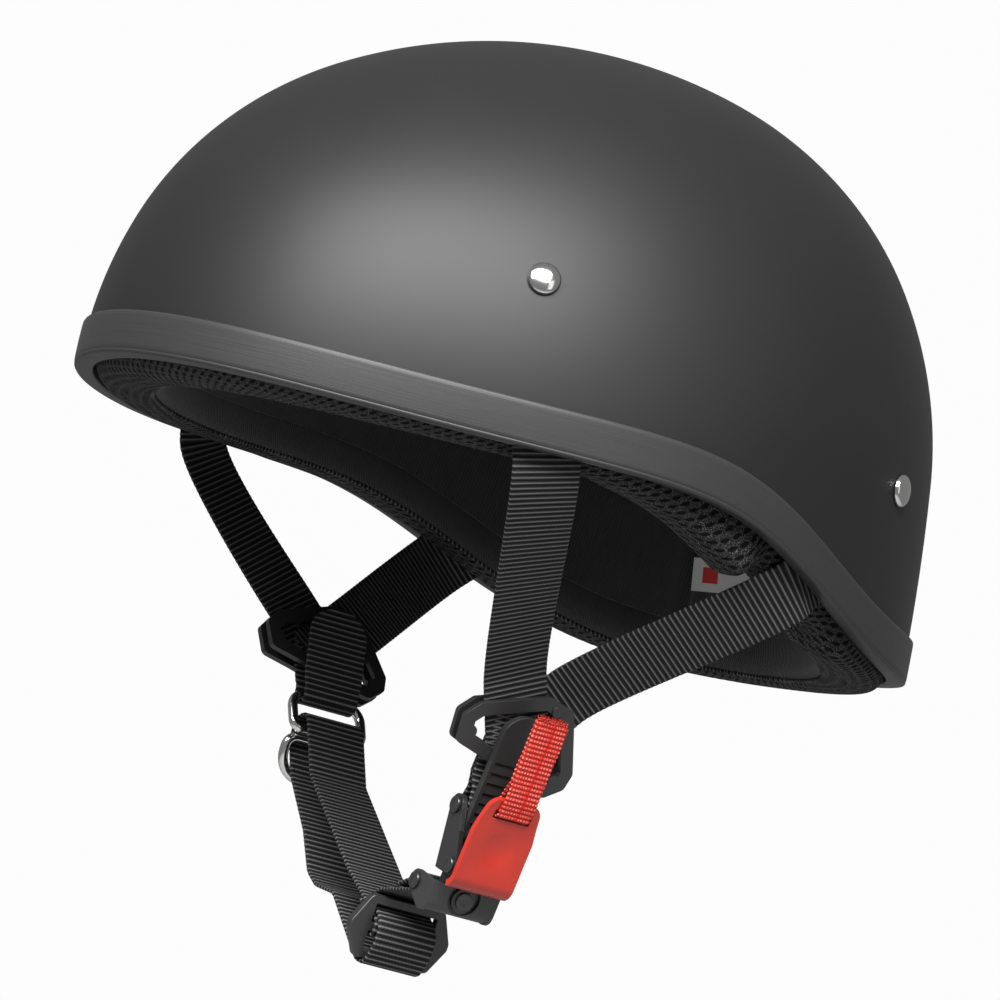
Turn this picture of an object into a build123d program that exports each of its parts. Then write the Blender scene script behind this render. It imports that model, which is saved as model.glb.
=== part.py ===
from build123d import *
from math import cos, exp, radians, sin, sqrt
import os

# Half shell helmet with its chin harness, in millimetres.
# +X is the wearer's left, -Y the front, +Z up. The origin is where the head sits, mid helmet.

# Outer shell: a dome of three tangent arcs, wider and longer than it is tall
shell_length = 262.0
shell_width = 223.0
dome_height = 117.0
equator_z = 9.5
shell_wall = 3.0
flat_share = 0.12
flat_turn = 25.0
skirt_share = 0.62
tuck_share = 0.034

# The rim seen from the side: up over the brow, level at the ears, down to the nape
ear_rim_z = 2.6
brow_rise = 18.5
nape_drop = 54.0
drop_y = shell_length * 0.1756
drop_spread = shell_length * 0.084
rim_points = 15
rim_reach_share = 0.6

# Edge trim, a soft U channel pushed onto the shell's edge
trim_height = 13.0
trim_proud = 1.5
trim_flange = 1.4
trim_lip = 1.6

# What lies inside the shell
foam_thickness = 20.0
foam_lift = 9.0
lining_thickness = 2.5
channel_clearance = 1.0
channel_depth = 6.0
overrun = 60.0

# Rim cushion, a roll of spacer mesh under the foam
cushion_inset = 7.4
cushion_width = 16.0
cushion_top = 12.0
cushion_edge = 3.0
cushion_crown = 3.5
nape_bulge = 3.0
cushion_draw = 1.2
cushion_stations = 11

# Webbing and its rivets
webbing_width = 20.0
webbing_thickness = 1.2
webbing_gap = 0.2
front_exit_y = shell_length * -0.1744
rear_exit_y = shell_length * 0.1698
side_rivet_y = shell_length * -0.1927
side_rivet_z = 53.0
rear_rivet_y = shell_length * 0.3137
rear_rivet_z = 6.7
rivet_head_diameter = 9.8
rivet_head_height = 2.6
rivet_shank_diameter = 4.0
rivet_tail_diameter = 7.0
rivet_tail_height = 1.0
rivet_tail_gap = 0.1
washer_diameter = 12.0
washer_thickness = 1.0
hole_clearance = 0.1
hole_reach = 12.0
strap_overlap = 9.0

# Size label on the lining, bare
label_width = 15.0
label_height = 10.0
label_thickness = 0.6
label_gap = 0.1
label_y = shell_length * 0.376
label_z = -21.6

# Harness plane: upright through the wearer's jaw, leaning forward at the bottom
harness_y = -14.0
harness_z = -80.0
harness_lean = 8.0

# Ratchet buckle: lever pin A is the centre that everything in it is placed from
buckle_u = 42.8
buckle_v = -36.3
buckle_turn = 18.1
pin_diameter = 3.0
pin_head_diameter = 5.0
pin_head_thickness = 1.1
pin_clearance = 0.06
frame_inner_width = 17.4
frame_sheet = 1.5
floor_sheet = 1.2
strip_width = 16.6
strip_thickness = 2.4
strip_gap = 0.4
strip_reach = 47.0
strip_base_reach = 12.4
tooth_pitch = 3.2
tooth_height = 0.8
tooth_flank = 2.8
tooth_width = 14.2
tooth_count = 11
first_tooth = -3.0
tip_radius = 7.0
eye_wall = 1.2
cheek_wall = 1.4
lobe_wall = 1.9
floor_drop = 3.4
floor_top = 9.0
guide_sheet = 0.8
guide_low = 8.0
guide_length = 2.0
webbing_pin_up = 15.5

# Strip bracket, pressed steel
bracket_sheet = 1.2
bracket_side_gap = 0.3
bracket_top = 6.4
bracket_drop = 15.6
bracket_tuck = 7.0
bracket_curl = 0.7
back_top = 7.0
back_length = 5.4
bracket_corner = 3.6
bracket_hole_diameter = 10.5
bracket_hole_down = 9.5
strip_boss_diameter = 7.6
strip_boss_height = 1.2
strip_rivet_diameter = 3.0
strip_rivet_head = 5.4
strip_rivet_height = 1.0
bracket_pin_in = 11.9
bracket_pin_down = 10.0

# Release lever, moulded, and what rides on it
lever_width = 20.4
lever_end_width = 16.0
lever_wall = 1.9
lever_clearance = 0.3
lever_reach = 24.0
lever_flare = 1.2
lever_straight = 13.0
lever_tail = 5.0
tail_curl = 2.4
lever_corner = 4.5
lever_end_up = 24.6
thumb_dish_up = 9.0
slot_up = 19.4
slot_height = 2.8
slot_clearance = 0.8
slot_bow_share = 0.35
ribbon_width = 11.0
ribbon_thickness = 0.9
ribbon_gap = 0.18
ribbon_out = 6.1
ribbon_reach = 49.5
ribbon_meet = 6.0
ear_width = 3.0
ear_start = 5.6
pawl_width = 6.3
pawl_shift = -2.15
nose_up = 4.6
nose_length = 0.9
pawl_rise = 9.0
pawl_back = 1.4
nose_gap = 0.25
spring_wire = 0.7
spring_flats = 8
spring_turns = 3.5
spring_pitch = 0.95
spring_start = 1.64
spring_gap = 0.15
spring_leg = 9.0
spring_rest_gap = 0.02
spring_knuckle = 0.4
thumb_dish_radius = 22.0
thumb_dish_depth = 0.7

# Strap dividers
divider_plate = 1.8
divider_gap = 2.6
divider_rim = 4.0
divider_up = 38.6
divider_corner = 2.0
divider_outline = [
    (-21.0, 4.0), (-17.0, 8.5), (4.0, 15.5), (13.0, 13.0), (20.5, -5.0),
    (19.5, -10.0), (14.0, -14.0), (8.5, -13.0), (-10.5, -7.0), (-20.0, -4.5),
]
divider_posts = [(-17.0, -0.6), (15.5, -8.6)]
divider_stud = (7.5, 11.7)
post_diameter = 2.6
stud_diameter = 3.4
stud_height = 0.5
strap_reach = 18.5
narrow_top = 6.0
narrow_run = 5.0
ring_narrow_top = 1.8
ring_narrow_run = 3.0
loop_gap = 0.3
layer_shift = 0.65
fold_down = 6.0
plate_clear = 13.4
plate_run = 1.8
arm_stations = 9
exit_run = 4.0
exit_share = 0.4
pull_share = 0.45

# Right side of the harness
right_divider_u = -74.0
right_divider_v = 23.2
right_lean = 30.0
ring_wire_diameter = 3.0
ring_inner_width = 21.0
ring_depth = 12.2
ring_corner = 3.0
upper_ring_bow = 5.0
lower_ring_bow = 8.0
upper_ring_drop = 16.8
second_bar_u = -61.5
second_bar_v = -4.5
second_ring_turn = 10.0
tail_in = 11.0
tail_up = 8.3
tail_radius = 8.0

# Slider that shortens the chin strap
slider_u = 6.0
slider_v = -57.0
slider_lean = 11.5
slider_pitch = 8.2
slider_bar = 2.8
slider_width = 34.0
slider_end_width = 25.0
slider_window = 21.0
slider_height = 19.2
slider_shoulder = 0.5
slider_low_shoulder = 1.5
slider_corner = 2.0

# Chin strap route in the harness plane, from the sewn wrap to the bracket pin
strap_bend = 2.2
run_share = 0.45
chin_bend = 6.0
ribbon_bend = 0.75
chin_up_route = [(-14.5, -40.8), (-47.6, -15.1), (-57.8, 3.4), (-64.1, 1.2)]
chin_down_route = [
    (-64.1, -5.4), (-59.1, -15.7), (-44.1, -31.7), (-36.3, -43.6), (-30.5, -47.2), (-19.3, -48.8),
]
wrap_route = [(-10.5, 5.6), (-3.6, 2.7), (-2.4, -2.5), (2.6, -2.5), (2.6, 2.2)]
weave_route = [(-2.3, -10.6), (2.6, -10.6), (5.4, -4.5), (5.2, 2.6), (-2.9, 6.6), (-2.9, 10.6)]
end_route = [(2.4, -2.7), (2.4, 2.4), (-13.0, 1.1)]
end_turn = 12.0


# The dome's side profile as a unit shape, and the same profile as a formula
middle_shift = flat_share * sin(radians(flat_turn)) / (cos(radians(flat_turn)) - sin(radians(flat_turn)))
middle_radius = 1 + flat_share - flat_share / (cos(radians(flat_turn)) - sin(radians(flat_turn)))
skirt_radius = (tuck_share**2 + skirt_share**2) / (2 * tuck_share)


def profile(height):
    """Radius of the unit dome at a height share, and the radius times its slope."""
    if height < 0:
        centre, radius, level = 1 - skirt_radius, skirt_radius, 0
    elif height < (1 + flat_share) * sin(radians(flat_turn)):
        centre, radius, level = -flat_share, 1 + flat_share, 0
    elif height < middle_shift + middle_radius * cos(radians(flat_turn)):
        centre, radius, level = middle_shift, middle_radius, middle_shift
    else:
        centre, radius, level = 0, 1 + flat_share, -flat_share
    reach = centre + sqrt(radius**2 - (height - level) ** 2)
    return reach, -reach * (height - level) / (reach - centre)


def rim_z(y):
    """Height of the trim's bottom edge at a place along the helmet."""
    brow = brow_rise * max(-y / (shell_length / 2), 0) ** 2
    nape = nape_drop / (1 + exp(-(y - drop_y) / drop_spread))
    return ear_rim_z + brow - nape


def wall_point(y, z, inset, side=1):
    """Point on a dome layer at y and z, on the given side."""
    reach = profile((z - equator_z) / (dome_height - inset))[0]
    across = reach**2 - (y / (shell_length / 2 - inset)) ** 2
    return Vector(side * (shell_width / 2 - inset) * sqrt(max(across, 0)), y, z)


def wall_normal(y, z, side=1):
    """Outward direction of the shell at y and z."""
    point = wall_point(y, z, 0, side)
    slope = profile((z - equator_z) / dome_height)[1]
    return Vector(
        point.X / (shell_width / 2) ** 2, y / (shell_length / 2) ** 2, -slope / dome_height
    ).normalized()


with BuildPart() as unit_dome:
    with BuildSketch(Plane.XZ):
        with BuildLine():
            skirt_turn = Vector(skirt_radius - tuck_share, 0).get_angle(
                Vector(skirt_radius - tuck_share, skirt_share)
            )
            low = CenterArc((1 - skirt_radius, 0), skirt_radius, -skirt_turn, skirt_turn)
            CenterArc((-flat_share, 0), 1 + flat_share, 0, flat_turn)
            CenterArc((middle_shift, middle_shift), middle_radius, flat_turn, 90 - 2 * flat_turn)
            top = CenterArc((0, -flat_share), 1 + flat_share, 90 - flat_turn, flat_turn)
            Polyline(low @ 0, (0, (low @ 0).Y), top @ 1)
        make_face()
    revolve(axis=Axis.Z)


def dome(inset):
    """Solid dome whose surface lies inset inside the shell's outer face."""
    sizes = (shell_width / 2 - inset, shell_length / 2 - inset, dome_height - inset)
    return Pos(0, 0, equator_z) * scale(unit_dome.part, by=sizes, mode=Mode.PRIVATE)


def below_rim(lift, low_z=-shell_length):
    """Everything below the rim line raised by lift, as one long prism across the helmet."""
    reach = shell_length * rim_reach_share
    places = [reach * (2 * i / (rim_points - 1) - 1) for i in range(rim_points)]
    with BuildPart() as prism:
        with BuildSketch(Plane.YZ):
            with BuildLine():
                edge = Spline(*[(y, rim_z(y) + lift) for y in places])
                Polyline(edge @ 1, (reach, low_z), (-reach, low_z), edge @ 0)
            make_face()
        extrude(amount=shell_width, both=True)
    return prism.part


def save(piece, name):
    """Label a finished piece and write it."""
    piece.label = name
    export_step(piece, f"parts/{name}.step")


os.makedirs("parts", exist_ok=True)

# Harness planes. Every band in the harness lies square to one of them.
harness = Plane(
    origin=(0, harness_y, harness_z),
    x_dir=(1, 0, 0),
    z_dir=(0, -cos(radians(harness_lean)), sin(radians(harness_lean))),
)


def harness_point(u, v):
    return harness.from_local_coords(Vector(u, v, 0))


def turned_plane(u, v, turn):
    """Harness plane moved to u and v and turned, so that its local y runs along a strap."""
    x_dir = harness.from_local_coords(Vector(cos(radians(turn)), sin(radians(turn)), 0))
    return Plane(
        origin=harness_point(u, v), x_dir=x_dir - harness.origin, z_dir=harness.z_dir
    )


across = -harness.z_dir
buckle = turned_plane(buckle_u, buckle_v, -buckle_turn)
right = turned_plane(right_divider_u, right_divider_v, right_lean)
slider = turned_plane(slider_u, slider_v, -slider_lean)


def plate_plane(outwards, upwards=0):
    """Plane across the buckle at a place outwards and upwards from its pin, facing out."""
    return Plane(
        origin=buckle.from_local_coords(Vector(outwards, upwards, 0)), x_dir=across, z_dir=buckle.x_dir
    )


def to_harness(plane, x, y):
    """The harness plane's own coordinates of a point given in a turned plane."""
    spot = harness.to_local_coords(plane.from_local_coords(Vector(x, y, 0)))
    return (spot.X, spot.Y)


# Places along the buckle, outwards and upwards from the lever pin
pin_radius = pin_diameter / 2
eye_radius = pin_radius + eye_wall
strip_out = -(eye_radius + strip_gap)
strip_in = strip_out - strip_thickness
floor_out = strip_in - strip_gap
floor_in = floor_out - floor_sheet
guide_face = strip_out + loop_gap + guide_sheet
wrap_radius = pin_radius + webbing_gap + webbing_thickness / 2
wrap_outer = wrap_radius + webbing_thickness / 2
webbing_pin_out = strip_in - strip_gap - wrap_outer - webbing_gap
frame_width = frame_inner_width + 2 * frame_sheet
bracket_inner_width = webbing_width + 2 * bracket_side_gap
bracket_width = bracket_inner_width + 2 * bracket_sheet

# Outer shell
with BuildPart() as shell:
    add(dome(0))
    add(dome(shell_wall), mode=Mode.SUBTRACT)
    add(below_rim(trim_lip), mode=Mode.SUBTRACT)
    for side in (1, -1):
        for y, z in ((side_rivet_y, side_rivet_z), (rear_rivet_y, rear_rivet_z)):
            with Locations(Plane(origin=wall_point(y, z, 0, side), z_dir=wall_normal(y, z, side))):
                Cylinder(rivet_shank_diameter / 2 + hole_clearance, hole_reach, mode=Mode.SUBTRACT)
save(shell.part, "shell")

# Edge trim
with BuildPart() as edge_trim:
    add(dome(-trim_proud))
    add(dome(shell_wall + trim_flange), mode=Mode.SUBTRACT)
    add(below_rim(0), mode=Mode.SUBTRACT)
    add(below_rim(trim_height), mode=Mode.INTERSECT)
    add(shell.part, mode=Mode.SUBTRACT)
save(edge_trim.part, "edge_trim")

# Rim cushion, lofted round one side from brow to nape and mirrored
with BuildPart() as rim_cushion:
    for station in range(cushion_stations):
        swing = radians(180 * station / (cushion_stations - 1) - 90)
        plan = Vector(
            (shell_width / 2 - cushion_inset) * cos(swing), (shell_length / 2 - cushion_inset) * sin(swing), 0
        )
        flat = Vector(plan.X / shell_width**2, plan.Y / shell_length**2, 0).normalized()
        reach = profile((rim_z(plan.Y) - equator_z) / dome_height)[0]
        spot = Vector(plan.X * reach, plan.Y * reach, rim_z(plan.Y * reach))
        crown = cushion_crown + nape_bulge * max(sin(swing), 0)
        with BuildSketch(Plane(origin=spot, x_dir=flat, z_dir=(flat.Y, -flat.X, 0))):
            with BuildLine():
                outer_side = ThreePointArc(
                    (0, cushion_top), (-cushion_draw, (cushion_top + cushion_edge) / 2), (0, cushion_edge)
                )
                crown_arc = ThreePointArc(
                    outer_side @ 1, (-cushion_width / 2, cushion_edge - crown), (-cushion_width, cushion_edge)
                )
                inner_side = ThreePointArc(
                    crown_arc @ 1,
                    (cushion_draw - cushion_width, (cushion_top + cushion_edge) / 2),
                    (-cushion_width, cushion_top),
                )
                Line(inner_side @ 1, outer_side @ 0)
            make_face()
    loft()
    mirror(about=Plane.YZ)
save(rim_cushion.part, "rim_cushion")


def strap_layer(start, end, side, inset, thickness, width, before, after):
    """Flat band lying inside the shell, from a rivet to where it leaves the rim."""
    run = Vector(0, end[0] - start[0], end[1] - start[1])
    first = Vector(0, *start) - run.normalized() * before
    last = Vector(0, *end) + run.normalized() * after
    with BuildPart() as layer:
        with BuildSketch(Plane(origin=(first + last) / 2, x_dir=run, z_dir=(side, 0, 0))):
            Rectangle((last - first).length, width)
        extrude(amount=shell_width)
        add(dome(inset), mode=Mode.INTERSECT)
        add(dome(inset + thickness), mode=Mode.SUBTRACT)
    return layer.part


strap_inset = shell_wall + trim_flange + webbing_gap
strap_middle = strap_inset + webbing_thickness / 2
washer_inset = strap_inset + webbing_thickness
strap_ends = {
    "front": ((side_rivet_y, side_rivet_z), (front_exit_y, rim_z(front_exit_y))),
    "rear": ((rear_rivet_y, rear_rivet_z), (rear_exit_y, rim_z(rear_exit_y))),
}

# Foam liner with a channel for each strap
foam_inset = shell_wall + foam_thickness
with BuildPart() as foam_liner:
    add(dome(shell_wall))
    add(dome(foam_inset), mode=Mode.SUBTRACT)
    add(below_rim(foam_lift), mode=Mode.SUBTRACT)
    add(edge_trim.part, mode=Mode.SUBTRACT)
    add(rim_cushion.part, mode=Mode.SUBTRACT)
    for side in (1, -1):
        for start, end in strap_ends.values():
            channel = strap_layer(
                start, end, side, shell_wall - channel_clearance, channel_depth + channel_clearance,
                webbing_width + 2 * channel_clearance, strap_overlap + channel_clearance, overrun,
            )
            add(channel, mode=Mode.SUBTRACT)
save(foam_liner.part, "foam_liner")

# Lining cloth under the foam
with BuildPart() as crown_lining:
    add(dome(foam_inset))
    add(dome(foam_inset + lining_thickness), mode=Mode.SUBTRACT)
    add(below_rim(foam_lift), mode=Mode.SUBTRACT)
    add(rim_cushion.part, mode=Mode.SUBTRACT)
save(crown_lining.part, "crown_lining")


def rivet_plane(y, z, side, depth=0):
    """Plane on the shell at a rivet, facing out, set back by depth."""
    normal = wall_normal(y, z, side)
    return Plane(origin=wall_point(y, z, 0, side) - normal * depth, z_dir=normal)


def rivet_pair(y, z):
    """Domed rivets through shell and strap, one on each side."""
    head_radius = rivet_head_diameter / 2
    dome_radius = (head_radius**2 + rivet_head_height**2) / (2 * rivet_head_height)
    tail_depth = washer_inset + washer_thickness + rivet_tail_gap
    with BuildPart() as rivets:
        for side in (1, -1):
            with BuildSketch(rivet_plane(y, z, side)):
                Circle(rivet_shank_diameter / 2)
            extrude(amount=-(tail_depth + rivet_tail_height))
            with BuildSketch(rivet_plane(y, z, side, tail_depth)):
                Circle(rivet_tail_diameter / 2)
            extrude(amount=-rivet_tail_height)
            seat = rivet_plane(y, z, side)
            cap = Solid.make_sphere(dome_radius, seat.offset(rivet_head_height - dome_radius))
            keep = Solid.make_cylinder(head_radius, rivet_head_height, seat)
            add(cap & keep)
        add(shell.part, mode=Mode.SUBTRACT)
    return rivets.part


side_rivets = rivet_pair(side_rivet_y, side_rivet_z)
save(side_rivets, "side_rivets")
rear_rivets = rivet_pair(rear_rivet_y, rear_rivet_z)
save(rear_rivets, "rear_rivets")

with BuildPart() as rivet_washers:
    for side in (1, -1):
        for y, z in ((side_rivet_y, side_rivet_z), (rear_rivet_y, rear_rivet_z)):
            with BuildSketch(rivet_plane(y, z, side)):
                Circle(washer_diameter / 2)
                Circle(rivet_shank_diameter / 2, mode=Mode.SUBTRACT)
            extrude(amount=-hole_reach)
    add(dome(washer_inset), mode=Mode.INTERSECT)
    add(dome(washer_inset + washer_thickness), mode=Mode.SUBTRACT)
save(rivet_washers.part, "rivet_washers")

# Bare size label, sewn to the lining at the back
label_side = -1
label_normal = wall_normal(label_y, label_z, label_side)
label_spot = wall_point(label_y, label_z, foam_inset + lining_thickness, label_side)
label_inset = foam_inset + lining_thickness + label_gap
with BuildPart() as size_label:
    with BuildSketch(Plane(origin=label_spot, z_dir=-label_normal)):
        Rectangle(label_width, label_height)
    extrude(amount=label_height, both=True)
    add(dome(label_inset), mode=Mode.INTERSECT)
    add(dome(label_inset + label_thickness), mode=Mode.SUBTRACT)
save(size_label.part, "size_label")

# Webbing arms, from their rivets down to the dividers
dividers = {
    1: plate_plane(webbing_pin_out, divider_up),
    -1: Plane(origin=right.origin, x_dir=-across, z_dir=-right.x_dir),
}


def reach_towards(side, name):
    """Unit direction in a divider's own plane towards an arm's exit at the rim."""
    y, z = strap_ends[name][1]
    local = dividers[side].to_local_coords(wall_point(y, z, strap_middle, side))
    return Vector(local.X, local.Y, 0).normalized()


def strap_arm(side, name):
    """One arm: flat under the shell, then a free run that turns to lie in the divider."""
    start, end = strap_ends[name]
    run = Vector(0, end[0] - start[0], end[1] - start[1]).normalized()
    leave = Vector(0, *end) + run * exit_run * exit_share
    exit_point = wall_point(leave.Y, leave.Z, strap_middle, side)
    normal = wall_normal(leave.Y, leave.Z, side)
    down = (run - normal * run.dot(normal)).normalized()
    plate = dividers[side]
    entry = plate.from_local_coords(reach_towards(side, name) * strap_reach)
    inwards = (plate.origin - entry).normalized()
    wide_start = normal.cross(down)
    wide_end = plate.z_dir.cross(inwards)
    if wide_start.dot(wide_end) < 0:
        wide_end = -wide_end
    pull = (entry - exit_point).length * pull_share
    with BuildPart() as arm:
        for i in range(arm_stations):
            t = i / (arm_stations - 1)
            ease = 3 * t**2 - 2 * t**3
            spot = exit_point * (1 - ease) + entry * ease
            spot += down * pull * (t**3 - 2 * t**2 + t) + inwards * pull * (t**3 - t**2)
            slope = (entry - exit_point) * (6 * t - 6 * t**2)
            slope += down * pull * (3 * t**2 - 4 * t + 1) + inwards * pull * (3 * t**2 - 2 * t)
            wide = wide_start * (1 - ease) + wide_end * ease
            wide -= slope * (wide.dot(slope) / slope.dot(slope))
            with BuildSketch(Plane(origin=spot, x_dir=wide.normalized(), z_dir=slope.normalized())):
                Rectangle(webbing_width, webbing_thickness)
        loft()
        add(strap_layer(
            start, end, side, strap_inset, webbing_thickness, webbing_width, strap_overlap, exit_run
        ))
        with BuildSketch(rivet_plane(*start, side)):
            Circle(rivet_shank_diameter / 2 + hole_clearance)
        extrude(amount=-hole_reach, mode=Mode.SUBTRACT)
    return arm.part


left_front_arm = strap_arm(1, "front")
save(left_front_arm, "left_front_arm")
left_rear_arm = strap_arm(1, "rear")
save(left_rear_arm, "left_rear_arm")
right_front_arm = strap_arm(-1, "front")
save(right_front_arm, "right_front_arm")
right_rear_arm = strap_arm(-1, "rear")
save(right_rear_arm, "right_rear_arm")


# Strap dividers, a base with posts and a cover pressed onto them
def divider_half(side, level):
    """Ring shaped plate of a divider, standing on a level above its middle plane."""
    with BuildPart() as half:
        with BuildSketch(dividers[side].offset(level)):
            with BuildSketch(mode=Mode.ADD) as outline:
                Polygon(*[(side * x, y) for x, y in divider_outline], align=None)
                fillet(outline.vertices(), divider_corner)
            offset(outline.sketch, amount=-divider_rim, mode=Mode.SUBTRACT)
            with Locations([(side * x, y) for x, y in divider_posts]):
                Circle(divider_rim / 2)
        extrude(amount=divider_plate)
    return half.part


def divider_base(side):
    """Inner half of a divider with its two posts."""
    with BuildPart() as base:
        add(divider_half(side, -divider_gap / 2 - divider_plate))
        with BuildSketch(dividers[side].offset(-divider_gap / 2 - divider_plate / 2)):
            with Locations([(side * x, y) for x, y in divider_posts]):
                Circle(post_diameter / 2)
        extrude(amount=divider_plate / 2 + divider_gap)
    return base.part


def divider_cover(side):
    """Outer half of a divider with a round stud on its face."""
    with BuildPart() as cover:
        add(divider_half(side, divider_gap / 2))
        with BuildSketch(dividers[side].offset(divider_gap / 2 + divider_plate)):
            with Locations((side * divider_stud[0], divider_stud[1])):
                Circle(stud_diameter / 2)
        extrude(amount=stud_height)
    return cover.part


left_divider_base = divider_base(1)
save(left_divider_base, "left_divider_base")
left_divider_cover = divider_cover(1)
save(left_divider_cover, "left_divider_cover")
right_divider_base = divider_base(-1)
save(right_divider_base, "right_divider_base")
right_divider_cover = divider_cover(-1)
save(right_divider_cover, "right_divider_cover")


# Bent webbing
def bends(points, largest):
    """Bend radius at each inner point, as large as the two runs allow up to a limit."""
    radii = []
    for before, here, after in zip(points, points[1:], points[2:]):
        first = Vector(*here) - Vector(*before)
        second = Vector(*after) - Vector(*here)
        half_turn = radians(first.get_angle(second) / 2)
        shorter = min(first.length, second.length)
        radii.append(min(run_share * shorter * cos(half_turn) / sin(half_turn), largest))
    return radii


def band(plane, points, thickness, width, largest):
    """Webbing of an even thickness along a bent route, lying square to the plane."""
    with BuildPart() as webbing:
        with BuildSketch(plane):
            with BuildLine():
                FilletPolyline(*points, radius=bends(points, largest))
            trace(line_width=thickness)
        extrude(amount=width / 2, both=True)
    return webbing.part


def crossing(side, down):
    """Webbing folded between the halves of a divider: two arms run in, one band leaves below."""
    with BuildPart() as patch:
        with BuildSketch(dividers[side]):
            for name in strap_ends:
                towards = reach_towards(side, name)
                turn = Vector(0, 1).get_signed_angle(towards, Vector(0, 0, 1))
                with Locations(Location(towards * (strap_reach / 2), turn)):
                    Rectangle(webbing_width, strap_reach)
            Rectangle(webbing_width, down, align=(Align.CENTER, Align.MAX))
        extrude(amount=webbing_thickness, both=True)
    return patch.part


def edge_cutters(side, low, run):
    """Two slabs that draw webbing in to the width between the buckle's cheeks below a level."""
    narrow = frame_inner_width / 2 - loop_gap
    with BuildPart() as cutters:
        with BuildSketch(dividers[side]):
            for end in (1, -1):
                Polygon(
                    (end * narrow, low), (end * webbing_width / 2, low + run),
                    (end * webbing_width, low + run), (end * webbing_width, low - webbing_width),
                    (end * narrow, low - webbing_width), align=None,
                )
        extrude(amount=webbing_width, both=True)
    return cutters.part


# Left loop: both layers run down, narrow between the buckle's cheeks and close round the pin
with BuildPart() as left_strap_loop:
    pin_up = webbing_pin_up
    loop_side = [
        (layer_shift, divider_up - fold_down),
        (layer_shift, divider_up - plate_clear),
        (wrap_radius, pin_up + wrap_radius),
        (wrap_radius, pin_up - wrap_radius),
    ]
    loop_route = [(webbing_pin_out - x, y) for x, y in loop_side]
    loop_route += [(webbing_pin_out + x, y) for x, y in reversed(loop_side)]
    add(band(buckle, loop_route, webbing_thickness, webbing_width, strap_bend))
    add(edge_cutters(1, pin_up + narrow_top - divider_up, narrow_run), mode=Mode.SUBTRACT)
    add(crossing(1, fold_down))
save(left_strap_loop.part, "left_strap_loop")

# Right loop: one layer runs down round the upper ring and ends as a loose tail
with BuildPart() as right_strap_loop:
    loop_low = -upper_ring_drop - wrap_radius
    add(band(
        right,
        [
            (-layer_shift, -fold_down), (-layer_shift, -plate_clear),
            (-wrap_radius, -plate_clear - plate_run), (-wrap_radius, loop_low),
            (wrap_radius, loop_low), (tail_in, tail_up),
        ],
        webbing_thickness, webbing_width, strap_bend,
    ))
    add(edge_cutters(-1, ring_narrow_top - upper_ring_drop, ring_narrow_run), mode=Mode.SUBTRACT)
    tail_run = Vector(tail_in - wrap_radius, tail_up - loop_low).normalized()
    tail_face = Plane(
        origin=right.from_local_coords(Vector(tail_in, tail_up, 0)),
        x_dir=across,
        z_dir=across.cross(right.from_local_coords(tail_run) - right.origin),
    )
    with BuildSketch(tail_face):
        Rectangle(webbing_width * 2, tail_radius, align=(Align.CENTER, Align.MAX))
        RectangleRounded(
            webbing_width, tail_radius * 4, tail_radius, align=(Align.CENTER, Align.MAX), mode=Mode.SUBTRACT
        )
    extrude(amount=webbing_thickness * 2, both=True, mode=Mode.SUBTRACT)
    add(crossing(-1, fold_down))
save(right_strap_loop.part, "right_strap_loop")


# Two D rings on the right side
def ring_wire(plane, bow):
    """D ring with its straight bar at the plane's origin and its bow up along the plane's y."""
    half = (ring_inner_width + ring_wire_diameter) / 2
    corners = [(-half, 0), (half, 0), (half, ring_depth), (-half, ring_depth)]
    with BuildPart() as ring:
        with BuildLine(plane) as loop:
            FilletPolyline(*corners, radius=[ring_corner, ring_corner, bow, bow], close=True)
        with BuildSketch(Plane(origin=loop.line @ 0, z_dir=loop.line % 0)):
            Circle(ring_wire_diameter / 2)
        sweep(path=loop.line)
    return ring.part


upper_ring_plane = Plane(
    origin=right.from_local_coords(Vector(0, -upper_ring_drop - ring_depth, 0)),
    x_dir=across,
    z_dir=across.cross(right.y_dir),
)
upper_ring = ring_wire(upper_ring_plane, upper_ring_bow)
save(upper_ring, "upper_ring")
second_ring = turned_plane(second_bar_u, second_bar_v, -second_ring_turn)
lower_ring_plane = Plane(
    origin=second_ring.origin, x_dir=across, z_dir=across.cross(-second_ring.y_dir)
)
lower_ring = ring_wire(lower_ring_plane, lower_ring_bow)
save(lower_ring, "lower_ring")

# Chin strap: sewn round the slider, up through both rings, back through the slider to the bracket
bracket_pin = (-bracket_pin_in, -bracket_pin_down)
pin_u, pin_v = to_harness(buckle, *bracket_pin)
chin_end = turned_plane(pin_u, pin_v, end_turn)
chin_route = [to_harness(slider, x, y) for x, y in wrap_route]
chin_route += chin_up_route
chin_route += chin_down_route
chin_route += [to_harness(slider, x, y) for x, y in weave_route]
chin_route += [to_harness(chin_end, x, y) for x, y in end_route]
chin_strap = band(harness, chin_route, webbing_thickness, webbing_width, chin_bend)
save(chin_strap, "chin_strap")

# Slider that the chin strap is shortened with
with BuildPart() as strap_slider:
    with BuildSketch(Plane(origin=slider.origin, x_dir=across, z_dir=slider.x_dir)) as slider_face:
        Polygon(
            *[
                (end * x, y)
                for end, places in (
                    (1, [
                        (slider_end_width / 2, -slider_height / 2), (slider_width / 2, -slider_low_shoulder),
                        (slider_width / 2, slider_shoulder), (slider_end_width / 2, slider_height / 2),
                    ]),
                    (-1, [
                        (slider_end_width / 2, slider_height / 2), (slider_width / 2, slider_shoulder),
                        (slider_width / 2, -slider_low_shoulder), (slider_end_width / 2, -slider_height / 2),
                    ]),
                )
                for x, y in places
            ],
            align=None,
        )
        fillet(slider_face.vertices(), slider_corner)
        with Locations((0, slider_pitch / 2), (0, -slider_pitch / 2)):
            Rectangle(slider_window, slider_pitch - slider_bar, mode=Mode.SUBTRACT)
    extrude(amount=slider_bar / 2, both=True)
save(strap_slider.part, "strap_slider")


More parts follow.
